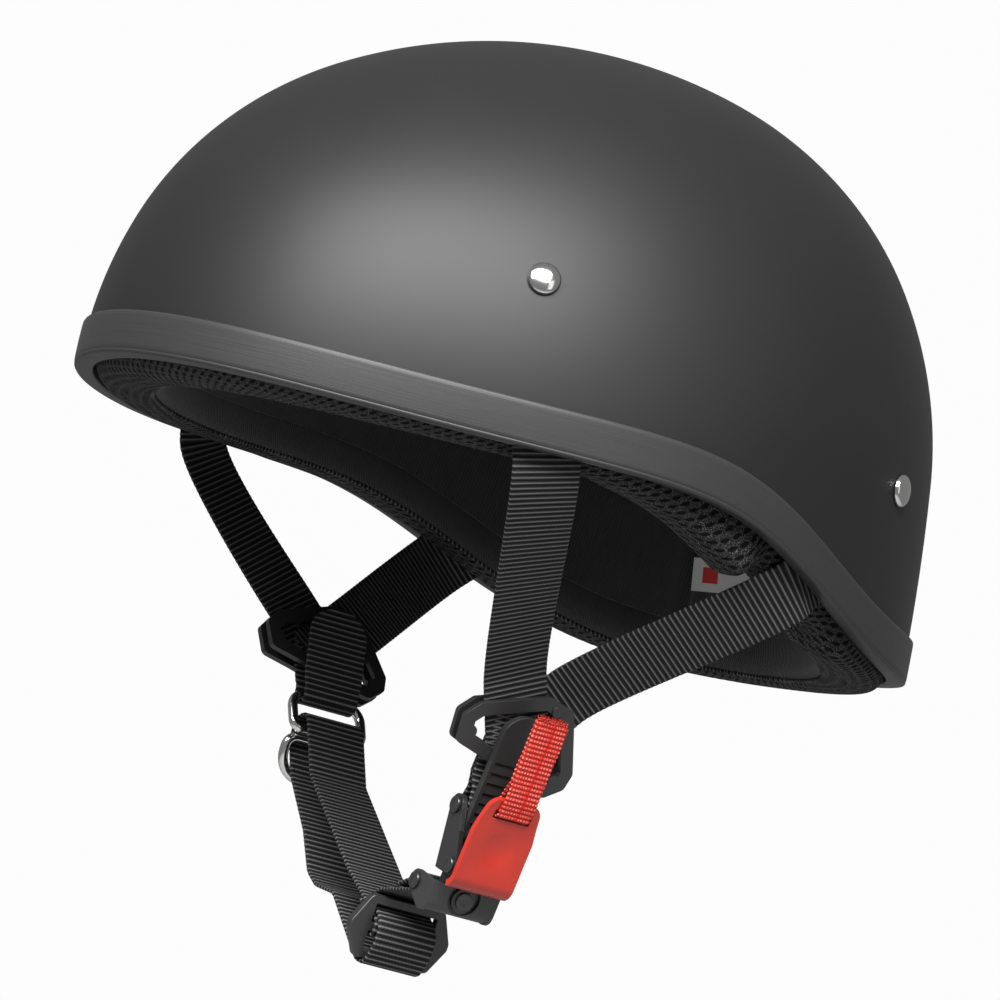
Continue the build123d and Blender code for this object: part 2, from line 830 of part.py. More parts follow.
# Ratchet buckle
def headed_pin(place, span):
    """Pin across the buckle with a flat head at each end, span being the width between the heads."""
    with BuildPart() as pin:
        with BuildSketch(buckle):
            with Locations(place):
                Circle(pin_radius)
        extrude(amount=span / 2, both=True)
        for end in (1, -1):
            with BuildSketch(buckle.offset(end * span / 2)):
                with Locations(place):
                    Circle(pin_head_diameter / 2)
            extrude(amount=end * pin_head_thickness)
    return pin.part


webbing_pin_place = (webbing_pin_out, webbing_pin_up)
lever_pin = headed_pin((0, 0), frame_width)
save(lever_pin, "lever_pin")
buckle_webbing_pin = headed_pin(webbing_pin_place, frame_width)
save(buckle_webbing_pin, "buckle_webbing_pin")
bracket_cross_pin = headed_pin(bracket_pin, bracket_width)
save(bracket_cross_pin, "bracket_pin")


def box_between(x_low, x_high, y_low, y_high):
    """Rectangle given by its sides."""
    with Locations(((x_low + x_high) / 2, (y_low + y_high) / 2)):
        Rectangle(x_high - x_low, y_high - y_low)


# Frame: two cheeks joined by the floor under the strip and a narrow bridge over it
lobe_radius = pin_radius + lobe_wall
with BuildPart() as ratchet_frame:
    with BuildSketch(buckle) as cheek:
        Circle(pin_radius + cheek_wall)
        with Locations(webbing_pin_place):
            Circle(lobe_radius)
        box_between(floor_in, floor_out, -floor_drop, floor_top)
        make_hull()
        with Locations((0, 0), webbing_pin_place):
            Circle(pin_radius, mode=Mode.SUBTRACT)
    extrude(amount=frame_width / 2, both=True)
    with BuildSketch(buckle):
        box_between(-overrun, overrun, -overrun, overrun)
    extrude(amount=frame_inner_width / 2, both=True, mode=Mode.SUBTRACT)
    with BuildSketch(buckle):
        box_between(floor_in, floor_out, -floor_drop, floor_top)
        box_between(strip_out + loop_gap, guide_face, guide_low, guide_low + guide_length)
    extrude(amount=frame_width / 2, both=True)
save(ratchet_frame.part, "ratchet_frame")

# Toothed strip with a rounded tip and a boss at its base
with BuildPart() as ratchet_strip:
    with BuildSketch(plate_plane(strip_in)):
        with Locations((0, strip_reach)):
            RectangleRounded(
                strip_width, strip_reach + strip_base_reach, tip_radius, align=(Align.CENTER, Align.MAX)
            )
        with Locations((0, -strip_base_reach)):
            Rectangle(strip_width, tip_radius * 2, align=(Align.CENTER, Align.MIN))
    extrude(amount=strip_thickness)
    with BuildSketch(plate_plane(strip_out)):
        with Locations((0, -bracket_pin_down)):
            Circle(strip_boss_diameter / 2)
    extrude(amount=strip_boss_height)
    with BuildSketch(buckle):
        for i in range(tooth_count):
            low = first_tooth + i * tooth_pitch
            Polygon(
                (strip_out, low), (strip_out - tooth_height, low + tooth_flank),
                (strip_out, low + tooth_flank), align=None,
            )
    extrude(amount=tooth_width / 2, both=True, mode=Mode.SUBTRACT)
    with BuildSketch(plate_plane(strip_in)):
        with Locations((0, -bracket_pin_down)):
            Circle(strip_rivet_diameter / 2)
    extrude(amount=strip_thickness + strip_boss_height, mode=Mode.SUBTRACT)
save(ratchet_strip.part, "ratchet_strip")

# Bracket of bent sheet that joins the strip to the chin strap
with BuildPart() as strip_bracket:
    sheet_out = strip_out + bracket_sheet / 2
    back_out = strip_in - bracket_sheet / 2
    with BuildSketch(buckle):
        with Locations(bracket_pin):
            Circle(lobe_radius)
        box_between(back_out, strip_out + bracket_sheet, -bracket_hole_down, -bracket_top)
        corner_place = (
            strip_out + bracket_sheet - bracket_corner, bracket_corner - bracket_drop - bracket_sheet / 2
        )
        with Locations(corner_place):
            Circle(bracket_corner)
        make_hull()
    extrude(amount=bracket_width / 2, both=True)
    with BuildSketch(buckle):
        box_between(-overrun, overrun, -overrun, overrun)
    extrude(amount=bracket_inner_width / 2, both=True, mode=Mode.SUBTRACT)
    with BuildSketch(buckle):
        with BuildLine():
            FilletPolyline(
                (sheet_out, -bracket_top), (sheet_out, -bracket_drop),
                (sheet_out - bracket_tuck, -bracket_drop + bracket_curl),
                radius=bracket_corner - bracket_sheet / 2,
            )
        trace(line_width=bracket_sheet)
        box_between(back_out - bracket_sheet / 2, strip_in, -back_top - back_length, -back_top)
    extrude(amount=bracket_inner_width / 2, both=True)
    with BuildSketch(buckle):
        with Locations(bracket_pin):
            Circle(pin_radius)
    extrude(amount=bracket_width / 2, both=True, mode=Mode.SUBTRACT)
    with BuildSketch(plate_plane(strip_out)):
        with Locations((0, -bracket_hole_down)):
            Circle(bracket_hole_diameter / 2)
    extrude(amount=bracket_sheet * 2, mode=Mode.SUBTRACT)
    with BuildSketch(plate_plane(strip_in)):
        with Locations((0, -bracket_pin_down)):
            Circle(strip_rivet_diameter / 2)
    extrude(amount=-bracket_sheet * 2, mode=Mode.SUBTRACT)
save(strip_bracket.part, "strip_bracket")

# Rivet through the strip's boss and the bracket's back wall
with BuildPart() as strip_rivet:
    rivet_low = strip_in - bracket_sheet
    with BuildSketch(plate_plane(rivet_low)):
        with Locations((0, -bracket_pin_down)):
            Circle(strip_rivet_diameter / 2)
    extrude(amount=bracket_sheet + strip_thickness + strip_boss_height)
    for level, direction in ((strip_out + strip_boss_height, 1), (rivet_low, -1)):
        with BuildSketch(plate_plane(level)):
            with Locations((0, -bracket_pin_down)):
                Circle(strip_rivet_head / 2)
        extrude(amount=direction * strip_rivet_height)
save(strip_rivet.part, "strip_rivet")

# Release lever: a curved handle on two ears, with a slot for the ribbon and a thumb dish
lever_middle = eye_radius + lever_clearance + lever_wall / 2
lever_inside = lever_middle - lever_wall / 2
end_middle = lever_middle + lever_flare
with BuildPart() as release_lever:
    with BuildSketch(buckle):
        with BuildLine():
            straight = Line((lever_middle, -pin_radius), (lever_middle, lever_straight))
            TangentArc((lever_middle, lever_straight), (end_middle, lever_reach), tangent=(0, 1))
            TangentArc((lever_middle, -pin_radius), (lever_middle - tail_curl, -lever_tail), tangent=(0, -1))
        trace(line_width=lever_wall)
    extrude(amount=lever_width / 2, both=True)
    with BuildSketch(dividers[1]):
        with BuildSketch(mode=Mode.ADD) as plan:
            Polygon(
                (-lever_width / 2, -overrun - divider_up), (lever_width / 2, -overrun - divider_up),
                (lever_width / 2, lever_straight - divider_up),
                (lever_end_width / 2, lever_end_up - divider_up),
                (-lever_end_width / 2, lever_end_up - divider_up),
                (-lever_width / 2, lever_straight - divider_up), align=None,
            )
            fillet(plan.vertices().sort_by(Axis.Y)[-2:], lever_corner)
        with Locations((0, slot_up - divider_up)):
            Rectangle(ribbon_width + 2 * slot_clearance, slot_height, mode=Mode.SUBTRACT)
    extrude(amount=overrun, mode=Mode.INTERSECT)
    add(
        Solid.make_sphere(
            thumb_dish_radius,
            Plane(buckle.from_local_coords(
                Vector(lever_middle + lever_wall / 2 - thumb_dish_depth + thumb_dish_radius, thumb_dish_up, 0)
            )),
        ),
        mode=Mode.SUBTRACT,
    )
    for end in (1, -1):
        with BuildSketch(buckle.offset(end * ear_start)):
            Circle(eye_radius)
            box_between(0, lever_middle, -eye_radius, eye_radius)
            Circle(pin_radius + pin_clearance, mode=Mode.SUBTRACT)
        extrude(amount=end * ear_width)
save(release_lever.part, "release_lever")

# Pawl on the lever pin, its nose just over the teeth
with BuildPart() as lever_pawl:
    nose_out = strip_out + nose_gap
    with BuildSketch(buckle.offset(-pawl_shift - pawl_width / 2)):
        Circle(eye_radius)
        Polygon(
            (-eye_radius, 0), (nose_out, nose_up), (nose_out, nose_up + nose_length),
            (lever_inside - pawl_back, pawl_rise), (lever_inside, pawl_rise), (lever_inside, 0),
            align=None,
        )
        Circle(pin_radius + pin_clearance, mode=Mode.SUBTRACT)
    extrude(amount=pawl_width)
save(lever_pawl.part, "lever_pawl")

# Torsion spring round the lever pin
spring_radius = pin_radius + spring_gap + spring_wire / 2
spring_length = spring_pitch * spring_turns
with BuildPart() as coil_spring:
    with BuildLine():
        coil = Helix(spring_pitch, spring_length, spring_radius, lefthand=True)
    with BuildSketch(Plane(origin=coil @ 0, z_dir=coil % 0)):
        RegularPolygon(spring_wire / 2, spring_flats)
    sweep(path=coil)
    legs = (
        (coil @ 0, Vector(lever_inside - spring_rest_gap - spring_wire / 2, spring_leg, 0)),
        (coil @ 1, Vector(guide_face + spring_rest_gap + spring_wire / 2, spring_leg, spring_length)),
    )
    for foot, tip in legs:
        add(Solid.make_sphere(spring_knuckle, Plane(foot)))
        add(Solid.make_cylinder(spring_wire / 2, (tip - foot).length, Plane(origin=foot, z_dir=tip - foot)))
lever_spring = buckle.offset(-spring_start - spring_length).location * coil_spring.part
save(lever_spring, "lever_spring")

# Pull ribbon, looped through the slot round the end of the lever
ribbon_side = lever_wall / 2 + ribbon_gap + ribbon_thickness / 2
slot_middle = lever_middle + lever_flare * slot_bow_share
layer_half = (ribbon_thickness + ribbon_gap) / 2
slot_floor = slot_up + slot_height / 2 - ribbon_gap - ribbon_thickness / 2
pull_ribbon = band(
    buckle,
    [
        (ribbon_out + layer_half, ribbon_reach), (end_middle + ribbon_side, lever_reach + ribbon_gap),
        (slot_middle + ribbon_side, slot_floor), (slot_middle - ribbon_side, slot_floor),
        (end_middle - ribbon_side, lever_reach + ribbon_gap),
        (ribbon_out - layer_half, lever_reach + ribbon_meet), (ribbon_out - layer_half, ribbon_reach),
    ],
    ribbon_thickness, ribbon_width, ribbon_bend,
)
save(pull_ribbon, "pull_ribbon")
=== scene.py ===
# %% [markdown]
# # A half shell helmet, dressed
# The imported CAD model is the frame: every piece of the helmet has its place and size there.
# Blender could push vertices about by hand until it looks right, but then the motion checks
# would no longer fit. So each finished piece is built from its solid's formulas and sizes, or
# is a copy of the solid with eased edges. Soft forms, such as the rim roll, may be fuller here.

# %% Load the frame
from math import cos, pi, radians, sin, sqrt, tan
import bmesh
import bpy
import numpy as np
from mathutils import Matrix, Vector


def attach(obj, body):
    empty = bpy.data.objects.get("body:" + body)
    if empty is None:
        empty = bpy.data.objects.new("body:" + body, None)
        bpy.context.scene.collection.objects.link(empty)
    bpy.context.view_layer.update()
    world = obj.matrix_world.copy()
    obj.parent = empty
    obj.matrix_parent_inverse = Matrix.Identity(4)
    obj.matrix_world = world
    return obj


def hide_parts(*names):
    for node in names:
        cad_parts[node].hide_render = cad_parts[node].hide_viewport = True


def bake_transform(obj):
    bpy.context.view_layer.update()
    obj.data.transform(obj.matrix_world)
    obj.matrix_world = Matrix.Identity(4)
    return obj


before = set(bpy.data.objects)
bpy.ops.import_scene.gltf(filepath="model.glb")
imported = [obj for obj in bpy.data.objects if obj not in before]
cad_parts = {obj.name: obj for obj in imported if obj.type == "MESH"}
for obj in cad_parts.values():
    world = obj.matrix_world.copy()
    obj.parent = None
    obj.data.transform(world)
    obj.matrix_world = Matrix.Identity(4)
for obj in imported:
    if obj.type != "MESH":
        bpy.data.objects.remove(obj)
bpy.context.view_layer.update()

# %% [markdown]
# ## From numbers to a mesh
# Almost everything soft or smooth on a helmet is a sheet that follows a curve: the dome, its
# edge trim, webbing, a ring's wire. Each could be pushed and pulled out of a Blender primitive,
# but would then follow the helmet only roughly. So one helper turns a grid of points into a
# mesh, with its UV map in metres, so that a weave keeps its real size. Points stay in
# millimetres until then.

# %% A grid of points becomes a piece
MM = 0.001
MERGE = 0.00002


def surface(name, points, u_place, v_place, wrap_u=False, wrap_v=False, sharp=40):
    """Mesh of an nu by nv grid of points in millimetres. Corner (i, j) of each quad has
    UV = (u_place[i], v_place[j]) / 1000. A wrapped direction needs one more place than points."""
    nu, nv = points.shape[:2]
    rows, columns = np.meshgrid(
        np.arange(nu if wrap_u else nu - 1), np.arange(nv if wrap_v else nv - 1), indexing="ij"
    )
    i = rows.reshape(-1, 1) + [0, 1, 1, 0]
    j = columns.reshape(-1, 1) + [0, 0, 1, 1]
    corners = (i % nu) * nv + j % nv
    mesh = bpy.data.meshes.new(name)
    mesh.vertices.add(nu * nv)
    mesh.vertices.foreach_set("co", (points * MM).ravel())
    mesh.loops.add(corners.size)
    mesh.loops.foreach_set("vertex_index", corners.ravel().astype(np.int32))
    mesh.polygons.add(len(corners))
    mesh.polygons.foreach_set("loop_start", np.arange(len(corners), dtype=np.int32) * 4)
    mesh.update(calc_edges=True)
    places = np.stack([np.asarray(u_place)[i], np.asarray(v_place)[j]], axis=-1) * MM
    mesh.uv_layers.new(name="uv").data.foreach_set("uv", places.ravel())
    return finish_mesh(name, mesh, sharp)


def finish_mesh(name, mesh, sharp):
    """Closes seams and open ends, turns the normals outward and shades smooth up to an angle."""
    work = bmesh.new()
    work.from_mesh(mesh)
    bmesh.ops.remove_doubles(work, verts=work.verts, dist=MERGE)
    bmesh.ops.dissolve_degenerate(work, edges=work.edges, dist=MERGE)
    bmesh.ops.holes_fill(work, edges=[e for e in work.edges if e.is_boundary], sides=0)
    bmesh.ops.recalc_face_normals(work, faces=work.faces)
    if work.calc_volume(signed=True) < 0:
        bmesh.ops.reverse_faces(work, faces=work.faces)
    for face in work.faces:
        face.smooth = True
    work.to_mesh(mesh)
    work.free()
    mesh.set_sharp_from_angle(angle=radians(sharp))
    piece = bpy.data.objects.new(name, mesh)
    bpy.context.scene.collection.objects.link(piece)
    return piece


# %% [markdown]
# ## A small language for finishes
# A finish is a graph of shader nodes. Wiring it by hand is hard to read, so an output socket
# is wrapped in a class that knows arithmetic: a sum of two sockets adds a Math node by itself.

# %% Sockets that can be added and multiplied
class Value:
    """One output of a shader graph. Arithmetic on it adds Math nodes to the same graph."""

    def __init__(self, shader, socket):
        self.shader = shader
        self.socket = socket

    def maths(self, operation, *values):
        return self.shader.node("ShaderNodeMath", {"operation": operation}, *values)

    def __add__(self, other):
        return self.maths("ADD", self, other)

    def __radd__(self, other):
        return self.maths("ADD", other, self)

    def __sub__(self, other):
        return self.maths("SUBTRACT", self, other)

    def __rsub__(self, other):
        return self.maths("SUBTRACT", other, self)

    def __mul__(self, other):
        return self.maths("MULTIPLY", self, other)

    def __rmul__(self, other):
        return self.maths("MULTIPLY", other, self)

    def __pow__(self, other):
        return self.maths("POWER", self, other)

    def wave(self):
        """Sine of the value."""
        return self.maths("SINE", self)

    def size(self):
        """The value without its sign."""
        return self.maths("ABSOLUTE", self)

    def nearest(self):
        """The nearest whole number."""
        return self.maths("ROUND", self)

    def above(self, level, soft):
        """0 below level, 1 above it, with a soft step in between."""
        step = {"interpolation_type": "SMOOTHSTEP"}
        return self.shader.node("ShaderNodeMapRange", step, self, level - soft, level + soft)


class Shader:
    """A material, or the world, under construction."""

    def __init__(self, name, owner=None):
        self.material = owner or bpy.data.materials.new(name)
        self.material.use_nodes = True
        self.nodes = self.material.node_tree.nodes
        self.links = self.material.node_tree.links
        self.surface = self.nodes.get("Principled BSDF") or self.nodes["Background"]

    def node(self, kind, settings=None, *inputs, out=0, **named):
        """Adds a node: its type, its settings first, then its inputs by place or by name."""
        node = self.nodes.new(kind)
        for key, value in (settings or {}).items():
            setattr(node, key, value)
        for place, value in list(enumerate(inputs)) + list(named.items()):
            self.give(node.inputs[place], value)
        return Value(self, node.outputs[out])

    def give(self, socket, value):
        """Links a Value to a socket, or sets the socket's own number."""
        if isinstance(value, Value):
            self.links.new(value.socket, socket)
        else:
            socket.default_value = value

    def mix(self, factor, first, second):
        """Colour between first, where factor is 0, and second, where it is 1."""
        node = self.nodes.new("ShaderNodeMix")
        node.data_type = "RGBA"
        self.give(node.inputs[0], factor)
        self.give(node.inputs[6], first)
        self.give(node.inputs[7], second)
        return Value(self, node.outputs[2])

    def uv(self):
        """The two UV places in millimetres."""
        place = self.node("ShaderNodeUVMap", {"uv_map": "uv"})
        split = self.node("ShaderNodeSeparateXYZ", None, place).socket.node
        return [Value(self, split.outputs[axis]) * (1 / MM) for axis in (0, 1)]

    def at(self, x, y, z=0.0):
        """A vector from three values."""
        return self.node("ShaderNodeCombineXYZ", None, x, y, z)

    def object_place(self):
        """Object coordinates in millimetres, as a vector."""
        place = self.node("ShaderNodeTexCoord", out=3)
        return self.node("ShaderNodeVectorMath", {"operation": "SCALE"}, place, Scale=1 / MM)

    def noise(self, vector, scale, detail=2.0):
        """Noise from 0 to 1 at a vector."""
        return self.node("ShaderNodeTexNoise", None, Vector=vector, Scale=scale, Detail=detail)

    def bump(self, height, depth, after=None):
        """Normal bent by a height from 0 to 1 that stands for depth in millimetres."""
        named = {"Height": height, "Strength": 1.0, "Distance": depth * MM}
        if after is not None:
            named["Normal"] = after
        return self.node("ShaderNodeBump", None, **named)

    def done(self, **inputs):
        """Fills the surface's inputs and returns the material."""
        for key, value in inputs.items():
            self.give(self.surface.inputs[key.replace("_", " ")], value)
        return self.material


def grey(level, warm=0.0):
    """A colour near grey."""
    return (level * (1 + warm), level, level * (1 - warm), 1.0)


# %% [markdown]
# ## Finishes
# The shell is matt paint: a broad soft shine and almost no edge glow. The trim is drawn
# plastic with fine lines along it. Both are dark, so the shine says more than the colour.

# %% Hard finishes
def shell_finish():
    """Matt paint: a faint cloud in its colour and shine, and a very fine grain."""
    made = Shader("shell_black")
    place = made.object_place()
    cloud = made.noise(place, 0.02)
    grain = made.noise(place, 2.2, 1.0)
    return made.done(
        Base_Color=made.mix(cloud, grey(0.0075), grey(0.0095)), Roughness=cloud * 0.04 + 0.48,
        Specular_IOR_Level=0.32, Normal=made.bump(grain, 0.004),
    )


def trim_finish():
    """Drawn plastic: fine lines along it, and slow changes in its shine."""
    made = Shader("trim_black")
    along, over = made.uv()
    lines = made.noise(made.at(along * 0.02, over * 3.5), 1.0, 3.0)
    wear = made.noise(made.at(along * 0.06, over * 0.6), 1.0)
    return made.done(
        Base_Color=made.mix(lines, grey(0.014), grey(0.026)), Roughness=wear * 0.1 + 0.42,
        Specular_IOR_Level=0.42, Normal=made.bump(lines, 0.03),
    )


def plain_finish(
    name, colour, roughness, metallic=0.0, grain=0.0, grain_scale=1.5, coat=0.0, shine=0.5
):
    """A hard finish that differs from its neighbours in colour, shine and the size of its grain."""
    made = Shader(name)
    place = made.object_place()
    texture = made.noise(place, grain_scale)
    cloud = made.noise(place, 0.12)
    return made.done(
        Base_Color=colour, Metallic=metallic, Roughness=cloud * 0.08 + (roughness - 0.04),
        Coat_Weight=coat, Specular_IOR_Level=shine, Normal=made.bump(texture, grain),
    )


finishes = {
    "shell_black": shell_finish(),
    "trim_black": trim_finish(),
    "nickel": plain_finish("nickel", grey(0.62, 0.012), 0.15, metallic=1.0, grain=0.002),
    "moulded_black": plain_finish("moulded_black", grey(0.017), 0.38, grain=0.012, grain_scale=3.0),
    "black_steel": plain_finish("black_steel", grey(0.014), 0.30, grain=0.006, coat=0.25),
    "grained_black": plain_finish("grained_black", grey(0.022), 0.45, grain=0.07, grain_scale=1.3),
    "lever_red": plain_finish(
        "lever_red", (0.36, 0.018, 0.008, 1.0), 0.34, grain=0.004, coat=0.1, shine=0.45
    ),
    "foam_black": plain_finish("foam_black", grey(0.02), 0.8, grain=0.05, grain_scale=0.5, shine=0.2),
}
print("hard finishes:", ", ".join(finishes))

# %% [markdown]
# ## Woven finishes
# Webbing shows ribs across it, each with a twisted thread along its top that catches the
# light. The ribs are real relief in the mesh; the threads are bump, too fine for faces, with a
# painted highlight along them, and painted shade darkens the grooves. The ribbon has rows of
# light stitches on deep red, the roll along the rim is a net with lens shaped holes over a foam
# core, with the holes painted near black for the dark core and painted shade in them and a
# painted highlight on the net's threads, and the lining has a short brushed pile.

# %% Soft finishes
TURN = 2 * pi
RIB = 1.7
TWIST_PITCH, WEFT_PITCH = 0.5, 0.42


def webbing_finish():
    """Painted shade darkens the grooves between ribs, and a painted highlight runs along the twisted thread
    on top of each rib.
    """
    made = Shader("webbing_black")
    along, over = made.uv()
    rib = (along * (pi / RIB)).wave().size()
    twist = ((over + along * 0.6) * (TURN / TWIST_PITCH)).wave() * 0.5 + 0.5
    weft = (over * (TURN / WEFT_PITCH)).wave() * 0.5 + 0.5
    fuzz = made.noise(made.at(along, over), 3.2, 3.0)
    # Painted shade: the colour darkens in the grooves between ribs.
    body = made.mix(rib * (weft * 0.5 + 0.5), grey(0.003), grey(0.024))
    # Painted highlight: a bright line along the top of each rib, broken by the twisted thread.
    top = rib**12.0 * (twist * 0.8 + 0.2)
    return made.done(
        Base_Color=made.mix(top, body, grey(0.2)), Roughness=fuzz * 0.2 + 0.6, Specular_IOR_Level=0.15,
        Normal=made.bump(twist * 0.5 + weft * 0.2 + fuzz * 0.3, 0.12),
    )


RIBBON_ROW, RIBBON_COLUMN = 1.4, 1.15
MIDDLE_FRONT, MIDDLE_BACK, MIDDLE_HALF = 5.5, 17.3, 0.7


def ribbon_finish():
    """Short light stitches in rows on deep red, with a plain seam down the middle."""
    made = Shader("ribbon_red")
    along, over = made.uv()
    row = (along * (pi / RIBBON_ROW)).wave().size()
    column = ((over + along * 0.12) * (pi / RIBBON_COLUMN)).wave().size()
    front = (over - MIDDLE_FRONT).size().above(MIDDLE_HALF, 0.3)
    middle = front * (over - MIDDLE_BACK).size().above(MIDDLE_HALF, 0.3)
    stitch = row**3.0 * column.above(0.6, 0.25) * middle
    fuzz = made.noise(made.at(along, over), 4.0, 3.0)
    red = made.mix(row, (0.2, 0.004, 0.003, 1.0), (0.48, 0.016, 0.009, 1.0))
    return made.done(
        Base_Color=made.mix(stitch * fuzz * 1.1, red, (0.8, 0.26, 0.19, 1.0)), Roughness=fuzz * 0.2 + 0.65,
        Specular_IOR_Level=0.25, Normal=made.bump(stitch * 0.7 + fuzz * 0.3, 0.25),
    )


HOLE_PITCH, HOLE_ROW, HOLE_SLANT = 4.5, 2.4, radians(41.0)
HOLE_HALF_LONG, HOLE_HALF_HIGH = 1.95, 0.62
THREAD_PITCH = 0.85


def net_pitches(length):
    """Hole pitch and row pitch nearest to the wanted ones that close round a rim of this length."""
    holes = round(length * cos(HOLE_SLANT) / HOLE_PITCH)
    rows = 2 * round(length * sin(HOLE_SLANT) / HOLE_ROW / 2)
    return length * cos(HOLE_SLANT) / holes, length * sin(HOLE_SLANT) / rows


def hole_depth(along, over, pitch, row, nearest):
    """The two terms of a lens shaped hole, 1 - (p / half length)^2 and q / half height, p and q being
    the places along and across it. A place is inside the hole where the first is larger than the
    second without its sign. Every second row is shifted by half a pitch."""
    p = along * cos(HOLE_SLANT) + over * sin(HOLE_SLANT)
    q = over * cos(HOLE_SLANT) - along * sin(HOLE_SLANT)
    line = nearest(q * (1 / row))
    shifted = p * (1 / pitch) + line * 0.5
    long = (shifted - nearest(shifted)) * (pitch / HOLE_HALF_LONG)
    return 1.0 - long * long, (q - line * row) * (1 / HOLE_HALF_HIGH)


def mesh_finish(length):
    """A net over a foam core: lens shaped holes painted near black, for the dark core behind and painted
    shade in them, between bars of short curled threads with a painted highlight on them.
    """
    made = Shader("mesh_black")
    along, over = made.uv()
    lens, off = hole_depth(along, over, *net_pitches(length), Value.nearest)
    # Painted shade: the holes get near black colour below, darker than the black core behind them.
    hole = (lens - off.size()).above(0.0, 0.22)
    curl = made.noise(made.at(along, over), 1.3, 2.0) * 5.0
    thread = ((along * 0.8 + over * 0.5 + curl) * (TURN / THREAD_PITCH)).wave().above(0.35, 0.4)
    fuzz = made.noise(made.at(along, over), 2.4, 3.0).above(0.5, 0.12)
    # Painted highlight: the curled threads are painted light grey on the dark net.
    cloth = made.mix(thread * fuzz, grey(0.007), grey(0.17))
    return made.done(
        Base_Color=made.mix(hole, cloth, grey(0.001)), Roughness=fuzz * 0.15 + 0.65,
        Specular_IOR_Level=0.15, Normal=made.bump((1.0 - hole) * 0.7 + thread * fuzz * 0.3, 0.45),
    )


TWILL_PITCH = 1.1


def lining_finish():
    """Short pile over a faint slanting twill."""
    made = Shader("lining_black")
    along, over = made.uv()
    pile = made.noise(made.at(along, over), 1.9, 4.0)
    brushed = made.noise(made.at(along * 0.08, over * 0.08), 1.0, 3.0)
    twill = ((along + over * 0.3) * (TURN / TWILL_PITCH)).wave() * 0.5 + 0.5
    nap = brushed * 0.35 + pile * 0.35 + twill * 0.3
    return made.done(
        Base_Color=made.mix(nap, grey(0.005), grey(0.05)), Roughness=pile * 0.1 + 0.8,
        Specular_IOR_Level=0.15, Sheen_Weight=0.2, Sheen_Roughness=0.5,
        Normal=made.bump(pile * 0.7 + twill * 0.3, 0.3),
    )


LABEL_SIZE = (15.0, 10.0)
BLOCK_ALONG, BLOCK_OVER, BLOCK_SOFT = (9.2, 12.6), (2.6, 7.4), 0.1
LABEL_WEAVE = 0.4


def within(place, ends):
    """1 between the two ends and 0 outside them."""
    return place.above(ends[0], BLOCK_SOFT) * (1 - place.above(ends[1], BLOCK_SOFT))


def label_finish():
    """Plain woven label, bare but for one red block."""
    made = Shader("label_white")
    along, over = made.uv()
    block = within(along, BLOCK_ALONG) * within(over, BLOCK_OVER)
    weave = ((along * (TURN / LABEL_WEAVE)).wave() * (over * (TURN / LABEL_WEAVE)).wave()) * 0.5 + 0.5
    cloth = made.mix(weave, grey(0.42), grey(0.66))
    return made.done(
        Base_Color=made.mix(block, cloth, (0.5, 0.02, 0.02, 1.0)), Roughness=weave * 0.1 + 0.7,
        Normal=made.bump(weave, 0.05),
    )


finishes["webbing_black"] = webbing_finish()
finishes["ribbon_red"] = ribbon_finish()
finishes["lining_black"] = lining_finish()
finishes["label_white"] = label_finish()
print("finishes so far:", len(finishes))


# %% [markdown]
# ## Dressing a piece
# Every piece needs the same few facts: its finish, the body that it moves with, and the CAD
# nodes that it stands for. They could be repeated after each piece, but then one is soon
# forgotten, so one function sets them all and prints how many faces the piece has.

# %% A piece gets its finish and its body
def dress(piece, slot, body, *nodes):
    """Gives a piece its finish, lets it ride on a body and hides the CAD nodes it stands for."""
    piece.data.materials.clear()
    piece.data.materials.append(finishes[slot])
    if body:
        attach(piece, body)
    if nodes:
        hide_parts(*nodes)
    print(piece.name, len(piece.data.polygons), "faces")
    return piece


# %% [markdown]
# ## The dome
# The shell is a dome of three tangent arcs, stretched to an oval. A place on it is an angle
# round the helmet and a length along that profile, so a grid of the two covers it evenly,
# and every layer below it is the same grid with smaller half widths.

# %% The dome's formulas
HALF_WIDTH, HALF_LENGTH, HEIGHT, EQUATOR = 111.5, 131.0, 117.0, 9.5
FLAT, FLAT_TURN, SKIRT, TUCK = 0.12, radians(25.0), 0.62, 0.034
EAR_RIM, BROW_RISE, NAPE_DROP, DROP_PLACE, DROP_SPREAD = 2.6, 18.5, 54.0, 46.0, 22.0
BEND = FLAT * sin(FLAT_TURN) / (cos(FLAT_TURN) - sin(FLAT_TURN))
BEND_RADIUS = 1 + FLAT - FLAT / (cos(FLAT_TURN) - sin(FLAT_TURN))
SKIRT_RADIUS = (TUCK**2 + SKIRT**2) / (2 * TUCK)


def profile_reach(height):
    """Radius of the unit dome at a height share, for an array of shares."""
    h = np.clip(np.asarray(height, dtype=float), -SKIRT, 1.0)
    skirt = 1 - SKIRT_RADIUS + np.sqrt(np.maximum(SKIRT_RADIUS**2 - h**2, 0))
    side = -FLAT + np.sqrt(np.maximum((1 + FLAT) ** 2 - h**2, 0))
    bend = BEND + np.sqrt(np.maximum(BEND_RADIUS**2 - (h - BEND) ** 2, 0))
    crown = np.sqrt(np.maximum((1 + FLAT) ** 2 - (h + FLAT) ** 2, 0))
    low = np.where(h < 0, skirt, side)
    high = np.where(h < BEND + BEND_RADIUS * cos(FLAT_TURN), bend, crown)
    return np.where(h < (1 + FLAT) * sin(FLAT_TURN), low, high)


def rim_height(y):
    """Height of the rim: up over the brow, level at the ears and down to the nape."""
    brow = BROW_RISE * np.maximum(-y / HALF_LENGTH, 0) ** 2
    return EAR_RIM + brow - NAPE_DROP / (1 + np.exp(-(y - DROP_PLACE) / DROP_SPREAD))


def layer_sizes(inset):
    """The three half sizes of the layer that lies inset inside the shell."""
    return HALF_WIDTH - inset, HALF_LENGTH - inset, HEIGHT - inset


